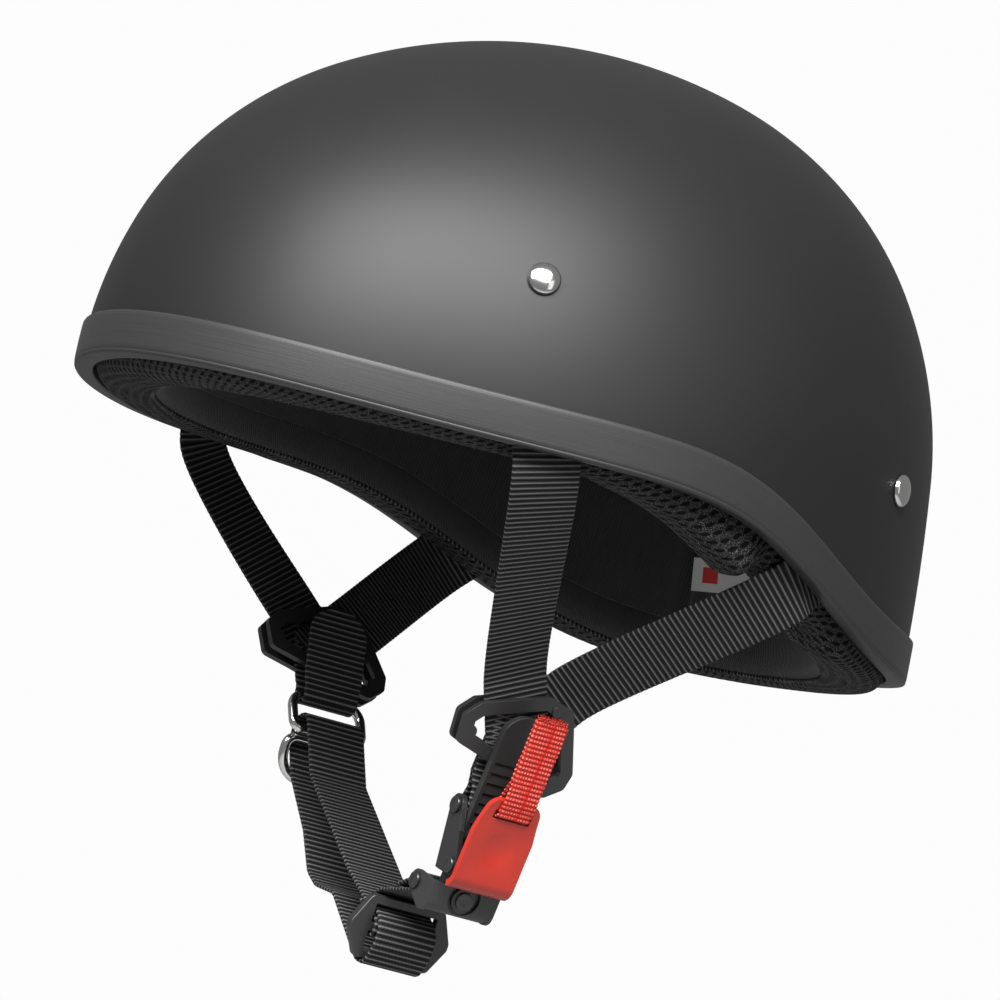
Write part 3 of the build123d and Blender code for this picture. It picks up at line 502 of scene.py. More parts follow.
def rim_place(angle, inset, lift):
    """Points on a layer at angles round the helmet, lift above the rim, x = a cos, y = b sin."""
    wide, long, high = layer_sizes(inset)
    z = rim_height(long * np.sin(angle)) + lift
    for _ in range(20):
        reach = profile_reach((z - EQUATOR) / high)
        z = rim_height(long * np.sin(angle) * reach) + lift
    return np.stack([wide * np.cos(angle) * reach, long * np.sin(angle) * reach, z], axis=-1)


CROWN_SHARE, ARC_STEPS = 0.1, 3000
arc_low = np.linspace(-SKIRT, 1 - CROWN_SHARE, ARC_STEPS)
arc = np.concatenate([arc_low, 1 - np.linspace(sqrt(CROWN_SHARE), 0, ARC_STEPS) ** 2])
arc_reach = profile_reach(arc)
arc_reach[-1] = 0
arc_length = np.concatenate([[0], np.cumsum(np.hypot(np.diff(arc), np.diff(arc_reach)))])


def dome_layer(angle, inset, lift, shares):
    """Grid over a layer from lift above the rim, share 0, up to the crown, share 1."""
    wide, long, high = layer_sizes(inset)
    low = (rim_place(angle, inset, lift)[:, 2] - EQUATOR) / high
    start = np.interp(low, arc, arc_length)[:, None]
    length = start + (arc_length[-1] - start) * np.asarray(shares)[None, :]
    height = np.interp(length, arc_length, arc)
    reach = np.interp(length, arc_length, arc_reach)
    x = wide * np.cos(angle)[:, None] * reach
    y = long * np.sin(angle)[:, None] * reach
    return np.stack([x, y, EQUATOR + high * height], axis=-1)


def even_angles(count):
    """Angles that space points evenly along the oval."""
    fine = np.linspace(0, TURN, 20001)
    steps = np.hypot(HALF_WIDTH * np.diff(np.cos(fine)), HALF_LENGTH * np.diff(np.sin(fine)))
    run = np.concatenate([[0], np.cumsum(steps)])
    return np.interp(np.linspace(0, run[-1], count + 1), run, fine), run[-1]


PROFILE_RUN, SIDES_APART = 170, 200


def bowl(name, outer, inner, lift, around, up, relief=None):
    """Closed bowl between two layers, open below. relief(points) sinks its inner side."""
    angle, length = even_angles(around)
    shares = np.linspace(0, 1, up)
    out_side = dome_layer(angle[:-1], outer, lift, shares)
    in_side = dome_layer(angle[:-1], inner, lift, shares)
    if relief is not None:
        middle = np.array([0, 0, EQUATOR])
        away = (in_side - middle) / np.linalg.norm(in_side - middle, axis=-1, keepdims=True)
        in_side = in_side + away * relief(in_side)[..., None]
    points = np.concatenate([out_side[:, ::-1], in_side], axis=1)
    over = np.concatenate([np.linspace(PROFILE_RUN, 0, up), np.linspace(0, PROFILE_RUN, up) + SIDES_APART])
    return surface(name, points, np.linspace(0, length, around + 1), over, wrap_u=True)


SHELL_WALL, SHELL_LIFT = 3.0, 1.6
helmet_shell = bowl("helmet_shell", 0, SHELL_WALL, SHELL_LIFT, 360, 90)
dress(helmet_shell, "shell_black", "helmet", "shell")

# %% [markdown]
# ## Edge trim
# The trim is a soft U channel, pushed over the raw edge of the shell. A curve with a bevel
# could carry its section, but may twist where the rim bends two ways. So the section is drawn
# once as pairs of inset and lift, and each pair is laid round the whole rim. Small bevels at
# the two outer corners catch the light, and its rounded top lip keeps it apart from the shell.

# %% The trim
TRIM_SECTION = [
    (0.1, 12.3), (-0.25, 12.5), (-0.6, 12.9), (-0.95, 13.0), (-1.3, 12.85), (-1.5, 12.4), (-1.52, 11.2),
    (-1.52, 7.0), (-1.52, 2.4), (-1.5, 1.5), (-1.3, 1.15), (-1.42, 0.95), (-1.36, 0.45), (-1.1, 0.12),
    (-0.7, 0.0), (1.5, 0.0), (3.7, 0.0), (4.15, 0.15), (4.4, 0.6), (4.4, 6.0), (4.4, 12.3),
    (4.2, 12.8), (3.7, 13.0), (3.0, 12.7), (3.0, 1.6), (0.1, 1.6),
]
TRIM_STATIONS = 720
trim_angle, trim_length = even_angles(TRIM_STATIONS)
trim_points = np.stack([rim_place(trim_angle[:-1], *pair) for pair in TRIM_SECTION], axis=1)
trim_steps = np.diff(np.array(TRIM_SECTION + TRIM_SECTION[:1]), axis=0)
trim_over = np.concatenate([[0], np.cumsum(np.hypot(*trim_steps.T))])
trim_along = np.linspace(0, trim_length, TRIM_STATIONS + 1)
rim_trim = surface("rim_trim", trim_points, trim_along, trim_over, True, True, sharp=60)
dress(rim_trim, "trim_black", "helmet", "edge_trim")

# %% [markdown]
# ## The roll along the rim
# Under the foam lies a roll of spacer mesh that shows below the trim. Cloth simulation could
# swell it, but here it has to hang by a chosen amount at each place: lowest on the wearer's
# left, between the two arms, and pressed in where a strap passes. So its section is worked out
# round the rim as a closed curve with nearly straight sides, a crown below and a flat top
# against the foam. The lens shaped holes of the net are sunk by the formula that also colours
# them in the finish.

# %% The rim roll
ROLL_INSET, ROLL_WIDTH, ROLL_TOP, ROLL_MIDDLE = 4.55, 20.75, 12.0, 6.0
PRESS = 1.6
CLOTH_START, NET_END = 1.3 * pi, 2.2 * pi
NET_POINTS, CLOTH_POINTS, ROLL_STATIONS = 58, 14, 1380
ARM_PLACES = ((-46.0, 15.0), (46.0, 15.5))


def near_arms(place):
    """1 beside the four places where a strap passes the roll and 0 elsewhere, for places on the rim.
    away is the distance from the strap over its half length, and 2.4 - 1.5 away is cut and eased."""
    away = np.min([np.abs(place[:, 1] - y) / half for y, half in ARM_PLACES], axis=0)
    share = np.clip(2.4 - 1.5 * away, 0, 1)
    return 3 * share**2 - 2 * share**3


def roll_section(low, pressed):
    """Closed section of the roll as across and up, low being its reach below the middle height.
    across = width (1 - c |c|^-0.45) / 2 with c = cos t. up = middle + (top - middle) (sin t)^0.5
    where sin t is above 0, and middle - low |sin t|^0.75 where it is below. A strap presses the
    outer side in by PRESS, and by as much again near the bottom."""
    net = np.linspace(CLOTH_START, NET_END, NET_POINTS)
    cloth = np.linspace(NET_END, CLOTH_START + TURN, CLOTH_POINTS)[1:-1]
    t = np.concatenate([net, cloth])
    across = ROLL_WIDTH / 2 * (1 - np.sign(np.cos(t)) * np.abs(np.cos(t)) ** 0.55)
    upper = np.maximum(np.sin(t), 0) ** 0.5 * (ROLL_TOP - ROLL_MIDDLE)
    lower = np.maximum(-np.sin(t), 0) ** 0.75
    outer = (1 - across / ROLL_WIDTH) ** 2 * (1 + lower)
    across = across[None, :] + PRESS * outer[None, :] * pressed[:, None]
    return across, ROLL_MIDDLE + upper[None, :] - lower[None, :] * low[:, None]


def paint(piece, slot, start):
    """Gives the faces from a UV place across onward a second finish."""
    places = np.empty(len(piece.data.loops) * 2)
    piece.data.uv_layers["uv"].data.foreach_get("uv", places)
    starts = np.empty(len(piece.data.polygons), dtype=np.int32)
    piece.data.polygons.foreach_get("loop_start", starts)
    piece.data.materials.append(finishes[slot])
    chosen = (places.reshape(-1, 2)[starts, 1] >= start * MM).astype(np.int32)
    piece.data.polygons.foreach_set("material_index", chosen)


FULLEST_Y, FULL_AHEAD, FULL_BEHIND = 36.0, 42.0, 36.0
LEAST_HANG, NAPE_HANG, LEFT_HANG, HELD_SHARE = 8.0, 2.2, 12.5, 0.75
HOLE_SINK = 0.35
roll_angle, roll_length = even_angles(ROLL_STATIONS)
roll_turn = roll_angle[:-1]
base = rim_place(roll_turn, ROLL_INSET, 0)
inward = (rim_place(roll_turn, ROLL_INSET + ROLL_WIDTH, 0) - base) / ROLL_WIDTH
inward[:, 2] = 0
pressed = near_arms(base)
behind = base[:, 1] - FULLEST_Y
fuller = np.exp(-((behind / np.where(behind < 0, FULL_AHEAD, FULL_BEHIND)) ** 2))
fuller = fuller * (base[:, 0] > 0) * (1 - HELD_SHARE * pressed)
hang = LEAST_HANG + NAPE_HANG * np.maximum(np.sin(roll_turn), 0) + LEFT_HANG * fuller
across, up = roll_section(hang, pressed)
columns = [
    rim_place(roll_turn, ROLL_INSET + across[:, k], np.maximum(up[:, k], 0)) for k in range(across.shape[1])
]
roll = np.stack(columns, axis=1) + np.array([0, 0, 1.0]) * np.minimum(up, 0)[..., None]
ring = np.hypot(np.diff(across[0], append=across[0, 0]), np.diff(up[0], append=up[0, 0]))
roll_over = np.concatenate([[0], np.cumsum(ring)])
roll_along = np.linspace(0, roll_length, ROLL_STATIONS + 1)
lens, off = hole_depth(roll_along[:-1, None], roll_over[None, :-1], *net_pitches(roll_length), np.round)
knit = np.arange(across.shape[1])[None, :] < NET_POINTS - 1
depth = HOLE_SINK * np.clip((lens - np.abs(off)) * 2, 0, 1) * knit
centre = roll.mean(axis=1, keepdims=True)
roll = roll + (centre - roll) / np.linalg.norm(centre - roll, axis=-1, keepdims=True) * depth[..., None]
finishes["mesh_black"] = mesh_finish(roll_length)
rim_roll = surface("rim_roll", roll, roll_along, roll_over, True, True, sharp=80)
dress(rim_roll, "mesh_black", "helmet", "rim_cushion")
paint(rim_roll, "lining_black", roll_over[NET_POINTS - 1])

# %% The bead where net and cloth are sewn together
BEAD_SIDES, BEAD_RADIUS, BEAD_SWELL, STITCH_PITCH = 10, 0.55, 0.18, 1.6
spin = np.linspace(0, TURN, BEAD_SIDES, endpoint=False)
thick = BEAD_RADIUS + BEAD_SWELL * np.abs(np.sin(pi * roll_along[:-1] / STITCH_PITCH))
ring = np.cos(spin)[None, :, None] * inward[:, None, :] + np.sin(spin)[None, :, None] * np.array([0, 0, 1.0])
bead_points = roll[:, 0][:, None] + ring * thick[:, None, None]
bead = surface("roll_bead", bead_points, roll_along, np.arange(BEAD_SIDES + 1) * 0.5, True, True)
dress(bead, "webbing_black", "helmet")

# %% [markdown]
# ## Foam and lining
# The foam shell is plain. The lining is black brushed cloth over it, sewn from panels. Its
# seams could be bump alone, but a seam shows in outline, so each is sunk in the mesh from front
# to back, with soft banks beside it, like a real sewn seam.

# %% Foam block and lining
FOAM_OUT, FOAM_IN, FOAM_LIFT = 3.1, 22.95, 12.4
LINING_OUT, LINING_IN, LINING_LIFT = 23.0, 25.6, 9.2
SEAM_X, SEAM_DEPTH, SEAM_HALF = 38.0, 0.9, 1.1
BANK_HEIGHT, BANK_OFF, BANK_HALF = 0.5, 3.2, 1.6
foam_block = bowl("foam_block", FOAM_OUT, FOAM_IN, FOAM_LIFT, 180, 40)
dress(foam_block, "foam_black", "helmet", "foam_liner")


def seams(points):
    """Depth of the lining's two seams, one each side: a groove with a soft bank beside it, each the
    bell curve exp(-(distance / half width)^2) of the distance from its middle."""
    off = np.abs(np.abs(points[..., 0]) - SEAM_X)
    bank = BANK_HEIGHT * np.exp(-((off - BANK_OFF) / BANK_HALF) ** 2)
    return SEAM_DEPTH * np.exp(-(off / SEAM_HALF) ** 2) - bank


crown_cloth = bowl("crown_cloth", LINING_OUT, LINING_IN, LINING_LIFT, 720, 110, seams)
dress(crown_cloth, "lining_black", "helmet", "crown_lining")

# %% [markdown]
# ## Rivets
# Two rivets a side carry the straps: domed nickel heads outside. A sphere cut flat would be
# too round, so a head is a profile turned round its axis, given as radius and height. It is set
# down square to the shell.

# %% Rivets
def wall_place(y, z, inset, side):
    """Point on a layer at y and z, on a side."""
    wide, long, high = layer_sizes(inset)
    reach = profile_reach((np.asarray(z) - EQUATOR) / high)
    return side * wide * np.sqrt(np.maximum(reach**2 - (np.asarray(y) / long) ** 2, 0))


def wall_normal(y, z, side):
    """Outward direction of the shell at y and z on a side."""
    step = 0.01
    along = np.array([wall_place(y + step, z, 0, side) - wall_place(y - step, z, 0, side), 2 * step, 0])
    rise = np.array([wall_place(y, z + step, 0, side) - wall_place(y, z - step, 0, side), 0, 2 * step])
    normal = np.cross(along, rise)
    return side * normal * np.sign(normal[0]) / np.linalg.norm(normal)


def turned(name, outline, origin, axis, count=48):
    """Surface turned round an axis through origin, from (radius, height) pairs."""
    axis = np.asarray(axis) / np.linalg.norm(axis)
    first = np.cross(axis, [0.0, 0.6, 0.8])
    first /= np.linalg.norm(first)
    second = np.cross(axis, first)
    spin = np.linspace(0, TURN, count, endpoint=False)[:, None, None]
    radius, height = np.array(outline, dtype=float).T
    points = origin + axis * height[None, :, None]
    points = points + (first * np.cos(spin) + second * np.sin(spin)) * radius[None, :, None]
    around = np.linspace(0, TURN, count + 1)
    return surface(name, points, around, np.arange(len(outline)), wrap_u=True, sharp=50)


swell = np.linspace(0, 1, 14)
RIVET = [(4.9 * r, 0.45 + 2.15 * sqrt(1 - r**2.3)) for r in swell] + [(4.85, 0.2), (4.5, 0.0), (2.0, -0.2)]
RIVET += [(2.0, -8.1), (3.5, -8.1), (3.4, -8.8), (2.6, -9.2), (0, -9.3)]
RIVET_PLACES = {"side": (-50.5, 53.0), "rear": (82.2, 6.7)}
for which, (y, z) in RIVET_PLACES.items():
    for side, label in ((1, "left"), (-1, "right")):
        seat = np.array([wall_place(y, z, 0, side), y, z])
        rivet = turned(f"{label}_{which}_rivet", RIVET, seat, wall_normal(y, z, side))
        dress(rivet, "nickel", "helmet", f"{which}_rivets")

# %% [markdown]
# ## Webbing
# All straps are 20 mm webbing. Bump alone would leave their outlines smooth, so one function
# gives them all real ribs. It takes a line down the middle and a direction across it, and
# carries a section with full rounded edges along them. The ribs are relief on both faces, and
# the two edges are beaded because the weft turns round there.

# %% A band of webbing along a line
BAND_WIDTH, BAND_THICK, BAND_COLUMNS = 20.0, 1.2, 15
RELIEF, EDGE_NIP, STEP = 0.26, 0.12, 0.3


def band_section(width, thick, columns):
    """Section as signed shares of the half width, levels of the half thickness and edge weight."""
    edge = thick / width
    flat = np.linspace(-1 + edge, 1 - edge, columns)
    round_off = np.linspace(-pi / 2, pi / 2, 7)[1:-1]
    outer = 1 - edge + edge * np.cos(round_off)
    across = np.concatenate([flat, outer, flat[::-1], -outer])
    level = np.concatenate([-np.ones(columns), np.sin(round_off), np.ones(columns), -np.sin(round_off)])
    bead = np.clip((np.abs(across) - 0.86) / 0.08, 0, 1)
    return across, level, bead


def unit(rows):
    """Rows divided by their lengths."""
    return rows / np.linalg.norm(rows, axis=-1, keepdims=True)


def band_mesh(name, middle, wide, half=None, sag=None):
    """Webbing along middle with its width along wide. |sin(pi s / rib pitch)|^0.7 lifts both faces.
    half is the half width at each row, and sag lets the edges follow a curved wall."""
    steps = np.linalg.norm(np.diff(middle, axis=0), axis=1)
    along = np.concatenate([[0], np.cumsum(steps)])
    heading = unit(np.gradient(middle, along, axis=0))
    wide = unit(wide - heading * np.sum(wide * heading, axis=1, keepdims=True))
    up = np.cross(heading, wide)
    across, level, bead = band_section(BAND_WIDTH, BAND_THICK, BAND_COLUMNS)
    half = np.full(len(middle), BAND_WIDTH / 2) if half is None else half
    rib = np.abs(np.sin(pi * along / RIB))[:, None] ** 0.7
    depth = BAND_THICK / 2 - RELIEF * (1 - rib) * (1 - 0.6 * bead)
    spread = half[:, None] * across - EDGE_NIP * np.sign(across) * (1 - rib) * bead
    rise = level * depth
    if sag is not None:
        rise = rise - sag[:, None] * spread**2
    points = middle[:, None] + wide[:, None] * spread[..., None] + up[:, None] * rise[..., None]
    steps_over = np.hypot(np.diff(across) * BAND_WIDTH / 2, np.diff(level) * BAND_THICK / 2)
    ring = np.concatenate([[0], np.cumsum(steps_over)])
    over = np.append(ring, ring[-1] + BAND_THICK / 4)
    return surface(name, points, along, over, wrap_v=True, sharp=70)


# %% [markdown]
# ## The harness plane
# Every strap below the rim lies square to one plane through the jaw, leaning 8 degrees. A
# small class keeps a turned origin on that plane, so routes are the same pairs as in the CAD.

# %% Places on the harness
LEAN = radians(8.0)
PLANE_U = np.array([1.0, 0.0, 0.0])
PLANE_V = np.array([0.0, sin(LEAN), cos(LEAN)])
WIDE = np.array([0.0, cos(LEAN), -sin(LEAN)])
PLANE_ORIGIN = np.array([0.0, -14.0, -80.0])


class Spot:
    """A place on the harness plane with its own outward x and upward y, turned by degrees."""

    def __init__(self, u, v, turn=0.0):
        self.origin = PLANE_ORIGIN + u * PLANE_U + v * PLANE_V
        self.x = cos(radians(turn)) * PLANE_U + sin(radians(turn)) * PLANE_V
        self.y = cos(radians(turn)) * PLANE_V - sin(radians(turn)) * PLANE_U

    def at(self, x, y):
        """World point of local x and y."""
        return self.origin + self.x * x + self.y * y

    def uv(self, x, y):
        """The same point as u and v of the harness plane."""
        local = self.at(x, y) - PLANE_ORIGIN
        return (float(local @ PLANE_U), float(local @ PLANE_V))


BRACKET_PIN = (-11.9, -10.0)
RUN_SHARE, BEND_POINTS = 0.45, 40
harness = Spot(0, 0)
buckle = Spot(42.8, -36.3, -18.1)
right = Spot(-74.0, 23.2, 30.0)
slider = Spot(6.0, -57.0, -11.5)
chin_end = Spot(*buckle.uv(*BRACKET_PIN), 12.0)


def rounded(points, largest, step):
    """Route of straight runs and arcs, sampled every step. Each bend's radius is 0.45 of the
    shorter run over the tangent of half the turn, up to largest."""
    points = np.asarray(points, dtype=float)
    parts = [points[:1]]
    for before, here, after in zip(points, points[1:], points[2:]):
        first, second = here - before, after - here
        shorter = min(np.linalg.norm(first), np.linalg.norm(second))
        first, second = unit(first), unit(second)
        side = np.sign(first[0] * second[1] - first[1] * second[0])
        turn = np.arccos(np.clip(first @ second, -1, 1))
        radius = min(RUN_SHARE * shorter / tan(turn / 2), largest)
        normal = side * np.array([-first[1], first[0]])
        centre = here - first * radius * tan(turn / 2) + normal * radius
        t = np.linspace(0, turn, BEND_POINTS)[:, None]
        parts.append(centre - normal * radius * np.cos(t) + first * radius * np.sin(t))
    parts.append(points[-1:])
    line = np.concatenate(parts)
    run = np.concatenate([[0], np.cumsum(np.linalg.norm(np.diff(line, axis=0), axis=1))])
    keep = np.concatenate([[True], np.diff(run) > 1e-6])
    even = np.linspace(0, run[-1], max(int(run[-1] / step), 2))
    return np.stack([np.interp(even, run[keep], line[keep, axis]) for axis in (0, 1)], axis=1)


def band(name, spot, route, largest, half=None):
    """Webbing along a route of x and y pairs at a spot, lying square to the harness plane."""
    flat = rounded(route, largest, STEP)
    middle = spot.at(0, 0) + flat[:, :1] * spot.x + flat[:, 1:] * spot.y
    wide = np.tile(WIDE, (len(flat), 1))
    return band_mesh(name, middle, wide, half=half(flat) if half else None)


print("buckle pin at", buckle.at(0, 0).round(2), "mm")

# %% [markdown]
# ## The four arms
# An arm lies against the inside of the shell from its rivet to the rim, then runs free and
# turns until it lies flat in a divider. The free run is a cubic curve that leaves along the
# wall and arrives along the plate.

# %% Arms
ARM_EXITS = {"front": (-45.7, "side"), "rear": (44.5, "rear")}
STRAP_DEPTH, STRAP_OVERLAP, EXIT_RUN, PULL_SHARE = 5.2, 9.0, 1.6, 0.45
STRAP_REACH, PLATE_LEVEL, PLATE_TAIL = 18.5, 0.62, 24.0
WALL_RADIUS, FLATTEN_RUN = 121.0, 14
PIN_RADIUS, EYE_RADIUS, WEBBING_GAP = 1.5, 1.5 + 1.2, 0.2
STRIP_GAP, STRIP_THICK = 0.4, 2.4
STRIP_OUT = -(EYE_RADIUS + STRIP_GAP)
STRIP_IN = STRIP_OUT - STRIP_THICK
PIN_OUT = STRIP_IN - STRIP_GAP - (PIN_RADIUS + WEBBING_GAP + BAND_THICK) - WEBBING_GAP
DIVIDER_UP = 38.6


def divider_plane(side):
    """Origin, x, y and outward direction of a divider's middle plane."""
    if side > 0:
        return buckle.at(PIN_OUT, DIVIDER_UP), WIDE, buckle.y, buckle.x
    return right.at(0, 0), -WIDE, right.y, -right.x


def arm(side, which):
    """Middle line, width direction and wall curve of one arm. Its free run is Hermite's cubic
    between wall and divider, which leaves along the wall and arrives along the plate."""
    exit_y, rivet = ARM_EXITS[which]
    start = np.array(RIVET_PLACES[rivet])
    end = np.array([exit_y, float(rim_height(exit_y))])
    run = unit(end - start)
    first, last = start - run * STRAP_OVERLAP, end + run * EXIT_RUN
    rows = int(np.linalg.norm(last - first) / STEP)
    path = first + (last - first) * np.linspace(0, 1, rows)[:, None]
    wall = np.stack([wall_place(path[:, 0], path[:, 1], STRAP_DEPTH, side), path[:, 0], path[:, 1]], axis=1)
    normals = np.array([wall_normal(y, z, side) for y, z in path])
    heading = unit(np.gradient(wall, axis=0))
    wide_wall = np.cross(normals, heading)
    origin, x_axis, y_axis, out = divider_plane(side)
    local = np.array([(wall[-1] - origin) @ x_axis, (wall[-1] - origin) @ y_axis])
    towards = unit(local)[0] * x_axis + unit(local)[1] * y_axis
    level = out * (PLATE_LEVEL if which == "front" else -PLATE_LEVEL)
    entry = origin + towards * STRAP_REACH + level
    down, inwards = heading[-1], -towards
    wide_end = np.cross(out, inwards)
    if wide_end @ wide_wall[-1] < 0:
        wide_end = -wide_end
    gap = np.linalg.norm(entry - wall[-1])
    pull = gap * PULL_SHARE
    t = np.linspace(0, 1, int(gap / STEP) + 1)[1:, None]
    ease = 3 * t**2 - 2 * t**3
    free = wall[-1] * (1 - ease) + entry * ease
    free = free + down * pull * (t**3 - 2 * t**2 + t) + inwards * pull * (t**3 - t**2)
    tail_rows = np.arange(STEP, PLATE_TAIL, STEP)[:, None]
    inside = entry + inwards * tail_rows
    middle = np.concatenate([wall, free, inside])
    wide_free = wide_wall[-1] * (1 - ease) + wide_end * ease
    wide = np.concatenate([wide_wall, wide_free, np.tile(wide_end, (len(inside), 1))])
    fade = np.clip(1 - np.arange(len(free) + len(inside)) * STEP / FLATTEN_RUN, 0, 1) ** 2
    sag = np.concatenate([np.ones(len(wall)), fade]) / (2 * WALL_RADIUS)
    sign = np.sign(np.cross(heading[-1], wide_wall[-1]) @ normals[-1])
    return middle, wide, sag * sign, wall[-1], entry


for side, label in ((1, "left"), (-1, "right")):
    for which in ARM_EXITS:
        middle, wide, sag, leave, enter = arm(side, which)
        piece = band_mesh(f"{label}_{which}_webbing", middle, wide, sag=sag)
        dress(piece, "webbing_black", None, f"{label}_{which}_arm")
        tuple(leave * MM)
        tuple(enter * MM)
        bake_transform(piece)

# %% [markdown]
# ## Loops and chin strap
# Below each divider the webbing makes a loop: on the left round the pin of the buckle, on the
# right round the upper D ring, where its free end turns back as a tail. The chin strap is
# sewn round the slider, runs round the lower ring, comes back through the slider and ends at
# the pin of the bracket. A real strap would be pulled through the slider when the toothed
# strip is drawn out.

# %% Loops
PIN_WRAP = PIN_RADIUS + WEBBING_GAP + BAND_THICK / 2
PIN_UP, LAYER_SHIFT, STRAP_BEND, CHIN_BEND = 15.5, 0.65, 2.2, 6.0
LOOP_TOP, PLATE_CLEAR = 46.0, 13.4
NARROW_UP, NARROW_RUN, NARROW_HALF = 6.0, 5.0, 8.4
RING_NARROW_LOW, RING_NARROW_HIGH, RING_NARROW_HALF = -15.0, -12.0, 9.4
TAIL_RADIUS, TAIL_END = 8.0, (11.0, 8.3)
UPPER_RING_DROP = 16.8


def narrowed(flat):
    """Half width along the left loop: narrow between the buckle's cheeks, full width above them."""
    low = PIN_UP + NARROW_UP
    return np.interp(flat[:, 1], [low, low + NARROW_RUN], [NARROW_HALF, BAND_WIDTH / 2])


def rounded_tail(flat):
    """Half width along the right loop: narrow at the ring and rounded at the free end."""
    steps = np.linalg.norm(np.diff(flat, axis=0), axis=1)
    left = np.concatenate([np.cumsum(steps[::-1])[::-1], [0]])
    corner = np.clip(TAIL_RADIUS - left, 0, TAIL_RADIUS - 0.01)
    ring = np.interp(
        flat[:, 1], [RING_NARROW_LOW, RING_NARROW_HIGH], [RING_NARROW_HALF, BAND_WIDTH / 2]
    )
    return np.minimum(ring, BAND_WIDTH / 2 - TAIL_RADIUS + np.sqrt(TAIL_RADIUS**2 - corner**2))


side_route = [
    (LAYER_SHIFT, LOOP_TOP), (LAYER_SHIFT, DIVIDER_UP - PLATE_CLEAR), (PIN_WRAP, PIN_UP + PIN_WRAP),
    (PIN_WRAP, PIN_UP - PIN_WRAP),
]
loop_route = [(PIN_OUT - x, y) for x, y in side_route] + [(PIN_OUT + x, y) for x, y in reversed(side_route)]
left_loop = band("left_loop", buckle, loop_route, STRAP_BEND, narrowed)
dress(left_loop, "webbing_black", "harness", "left_strap_loop")
low = -UPPER_RING_DROP - PIN_WRAP
tail_route = [
    (-LAYER_SHIFT, 7.5), (-LAYER_SHIFT, -PLATE_CLEAR), (-PIN_WRAP, -15.2), (-PIN_WRAP, low),
    (PIN_WRAP, low), TAIL_END,
]
right_loop = band("right_loop", right, tail_route, STRAP_BEND, rounded_tail)
dress(right_loop, "webbing_black", "harness", "right_strap_loop")

# %% Chin strap
UP_ROUTE = [(-14.5, -40.8), (-47.6, -15.1), (-57.8, 3.4), (-64.1, 1.2)]
DOWN_ROUTE = [(-64.1, -5.4), (-59.1, -15.7), (-44.1, -31.7), (-36.3, -43.6), (-30.5, -47.2), (-19.3, -48.8)]
WRAP_ROUTE = [(-10.5, 5.6), (-3.6, 2.7), (-2.4, -2.5), (2.6, -2.5), (2.6, 2.2)]
WEAVE_ROUTE = [(-2.3, -10.6), (2.6, -10.6), (5.4, -4.5), (5.2, 2.6), (-2.9, 6.6), (-2.9, 10.6)]
END_ROUTE = [(2.4, -2.7), (2.4, 2.4), (-13.0, 1.1)]
chin_route = [slider.uv(*pair) for pair in WRAP_ROUTE] + UP_ROUTE + DOWN_ROUTE
chin_route += [slider.uv(*pair) for pair in WEAVE_ROUTE] + [chin_end.uv(*pair) for pair in END_ROUTE]
chin_webbing = band("chin_webbing", harness, chin_route, CHIN_BEND)
dress(chin_webbing, "webbing_black", None, "chin_strap")
strap_from, strap_to = slider.at(3.0, 9.0) * MM, chin_end.at(-4.0, -2.0) * MM
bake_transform(chin_webbing)
chin_steps = np.diff(rounded(chin_route, CHIN_BEND, STEP), axis=0)
print("chin strap:", round(float(np.linalg.norm(chin_steps, axis=1).sum())), "mm")

# %% [markdown]
# ## Rings
# The D rings are bent steel wire, nickel plated. A Blender curve with a round bevel would do,
# but would have to be turned into a mesh before it is placed. The grid helper gives a mesh at
# once: a round section is carried along the closed path with its own two directions, the
# path's normal and the ring's axis.

# %% D rings
WIRE_RADIUS, WIRE_SIDES, CORNER_POINTS = 1.5, 20, 24


def wire_ring(name, origin, x_axis, y_axis, corners, radii):
    """Round wire along a closed path of straight runs and arcs, in the x, y plane."""
    closed = [np.asarray(c, dtype=float) for c in corners]
    line = []
    for i, here in enumerate(closed):
        first, second = unit(here - closed[i - 1]), unit(closed[(i + 1) % len(closed)] - here)
        side = np.sign(first[0] * second[1] - first[1] * second[0])
        turn = np.arccos(np.clip(first @ second, -1, 1))
        normal = side * np.array([-first[1], first[0]])
        centre = here - first * radii[i] * tan(turn / 2) + normal * radii[i]
        t = np.linspace(0, turn, CORNER_POINTS)[:, None]
        line.append(centre - normal * radii[i] * np.cos(t) + first * radii[i] * np.sin(t))
    path = np.concatenate(line)
    heading = unit(np.roll(path, -1, axis=0) - np.roll(path, 1, axis=0))
    normal = np.stack([-heading[:, 1], heading[:, 0]], axis=1)
    spin = np.linspace(0, TURN, WIRE_SIDES, endpoint=False)[None, :, None]
    flat = path[:, None] + normal[:, None] * np.cos(spin) * WIRE_RADIUS
    rise = np.sin(spin) * WIRE_RADIUS * np.ones((len(path), 1, 1))
    z_axis = np.cross(x_axis, y_axis)
    points = origin + flat[..., :1] * x_axis + flat[..., 1:] * y_axis + rise * z_axis
    return surface(name, points, np.arange(len(path) + 1), np.arange(WIRE_SIDES + 1), True, True)


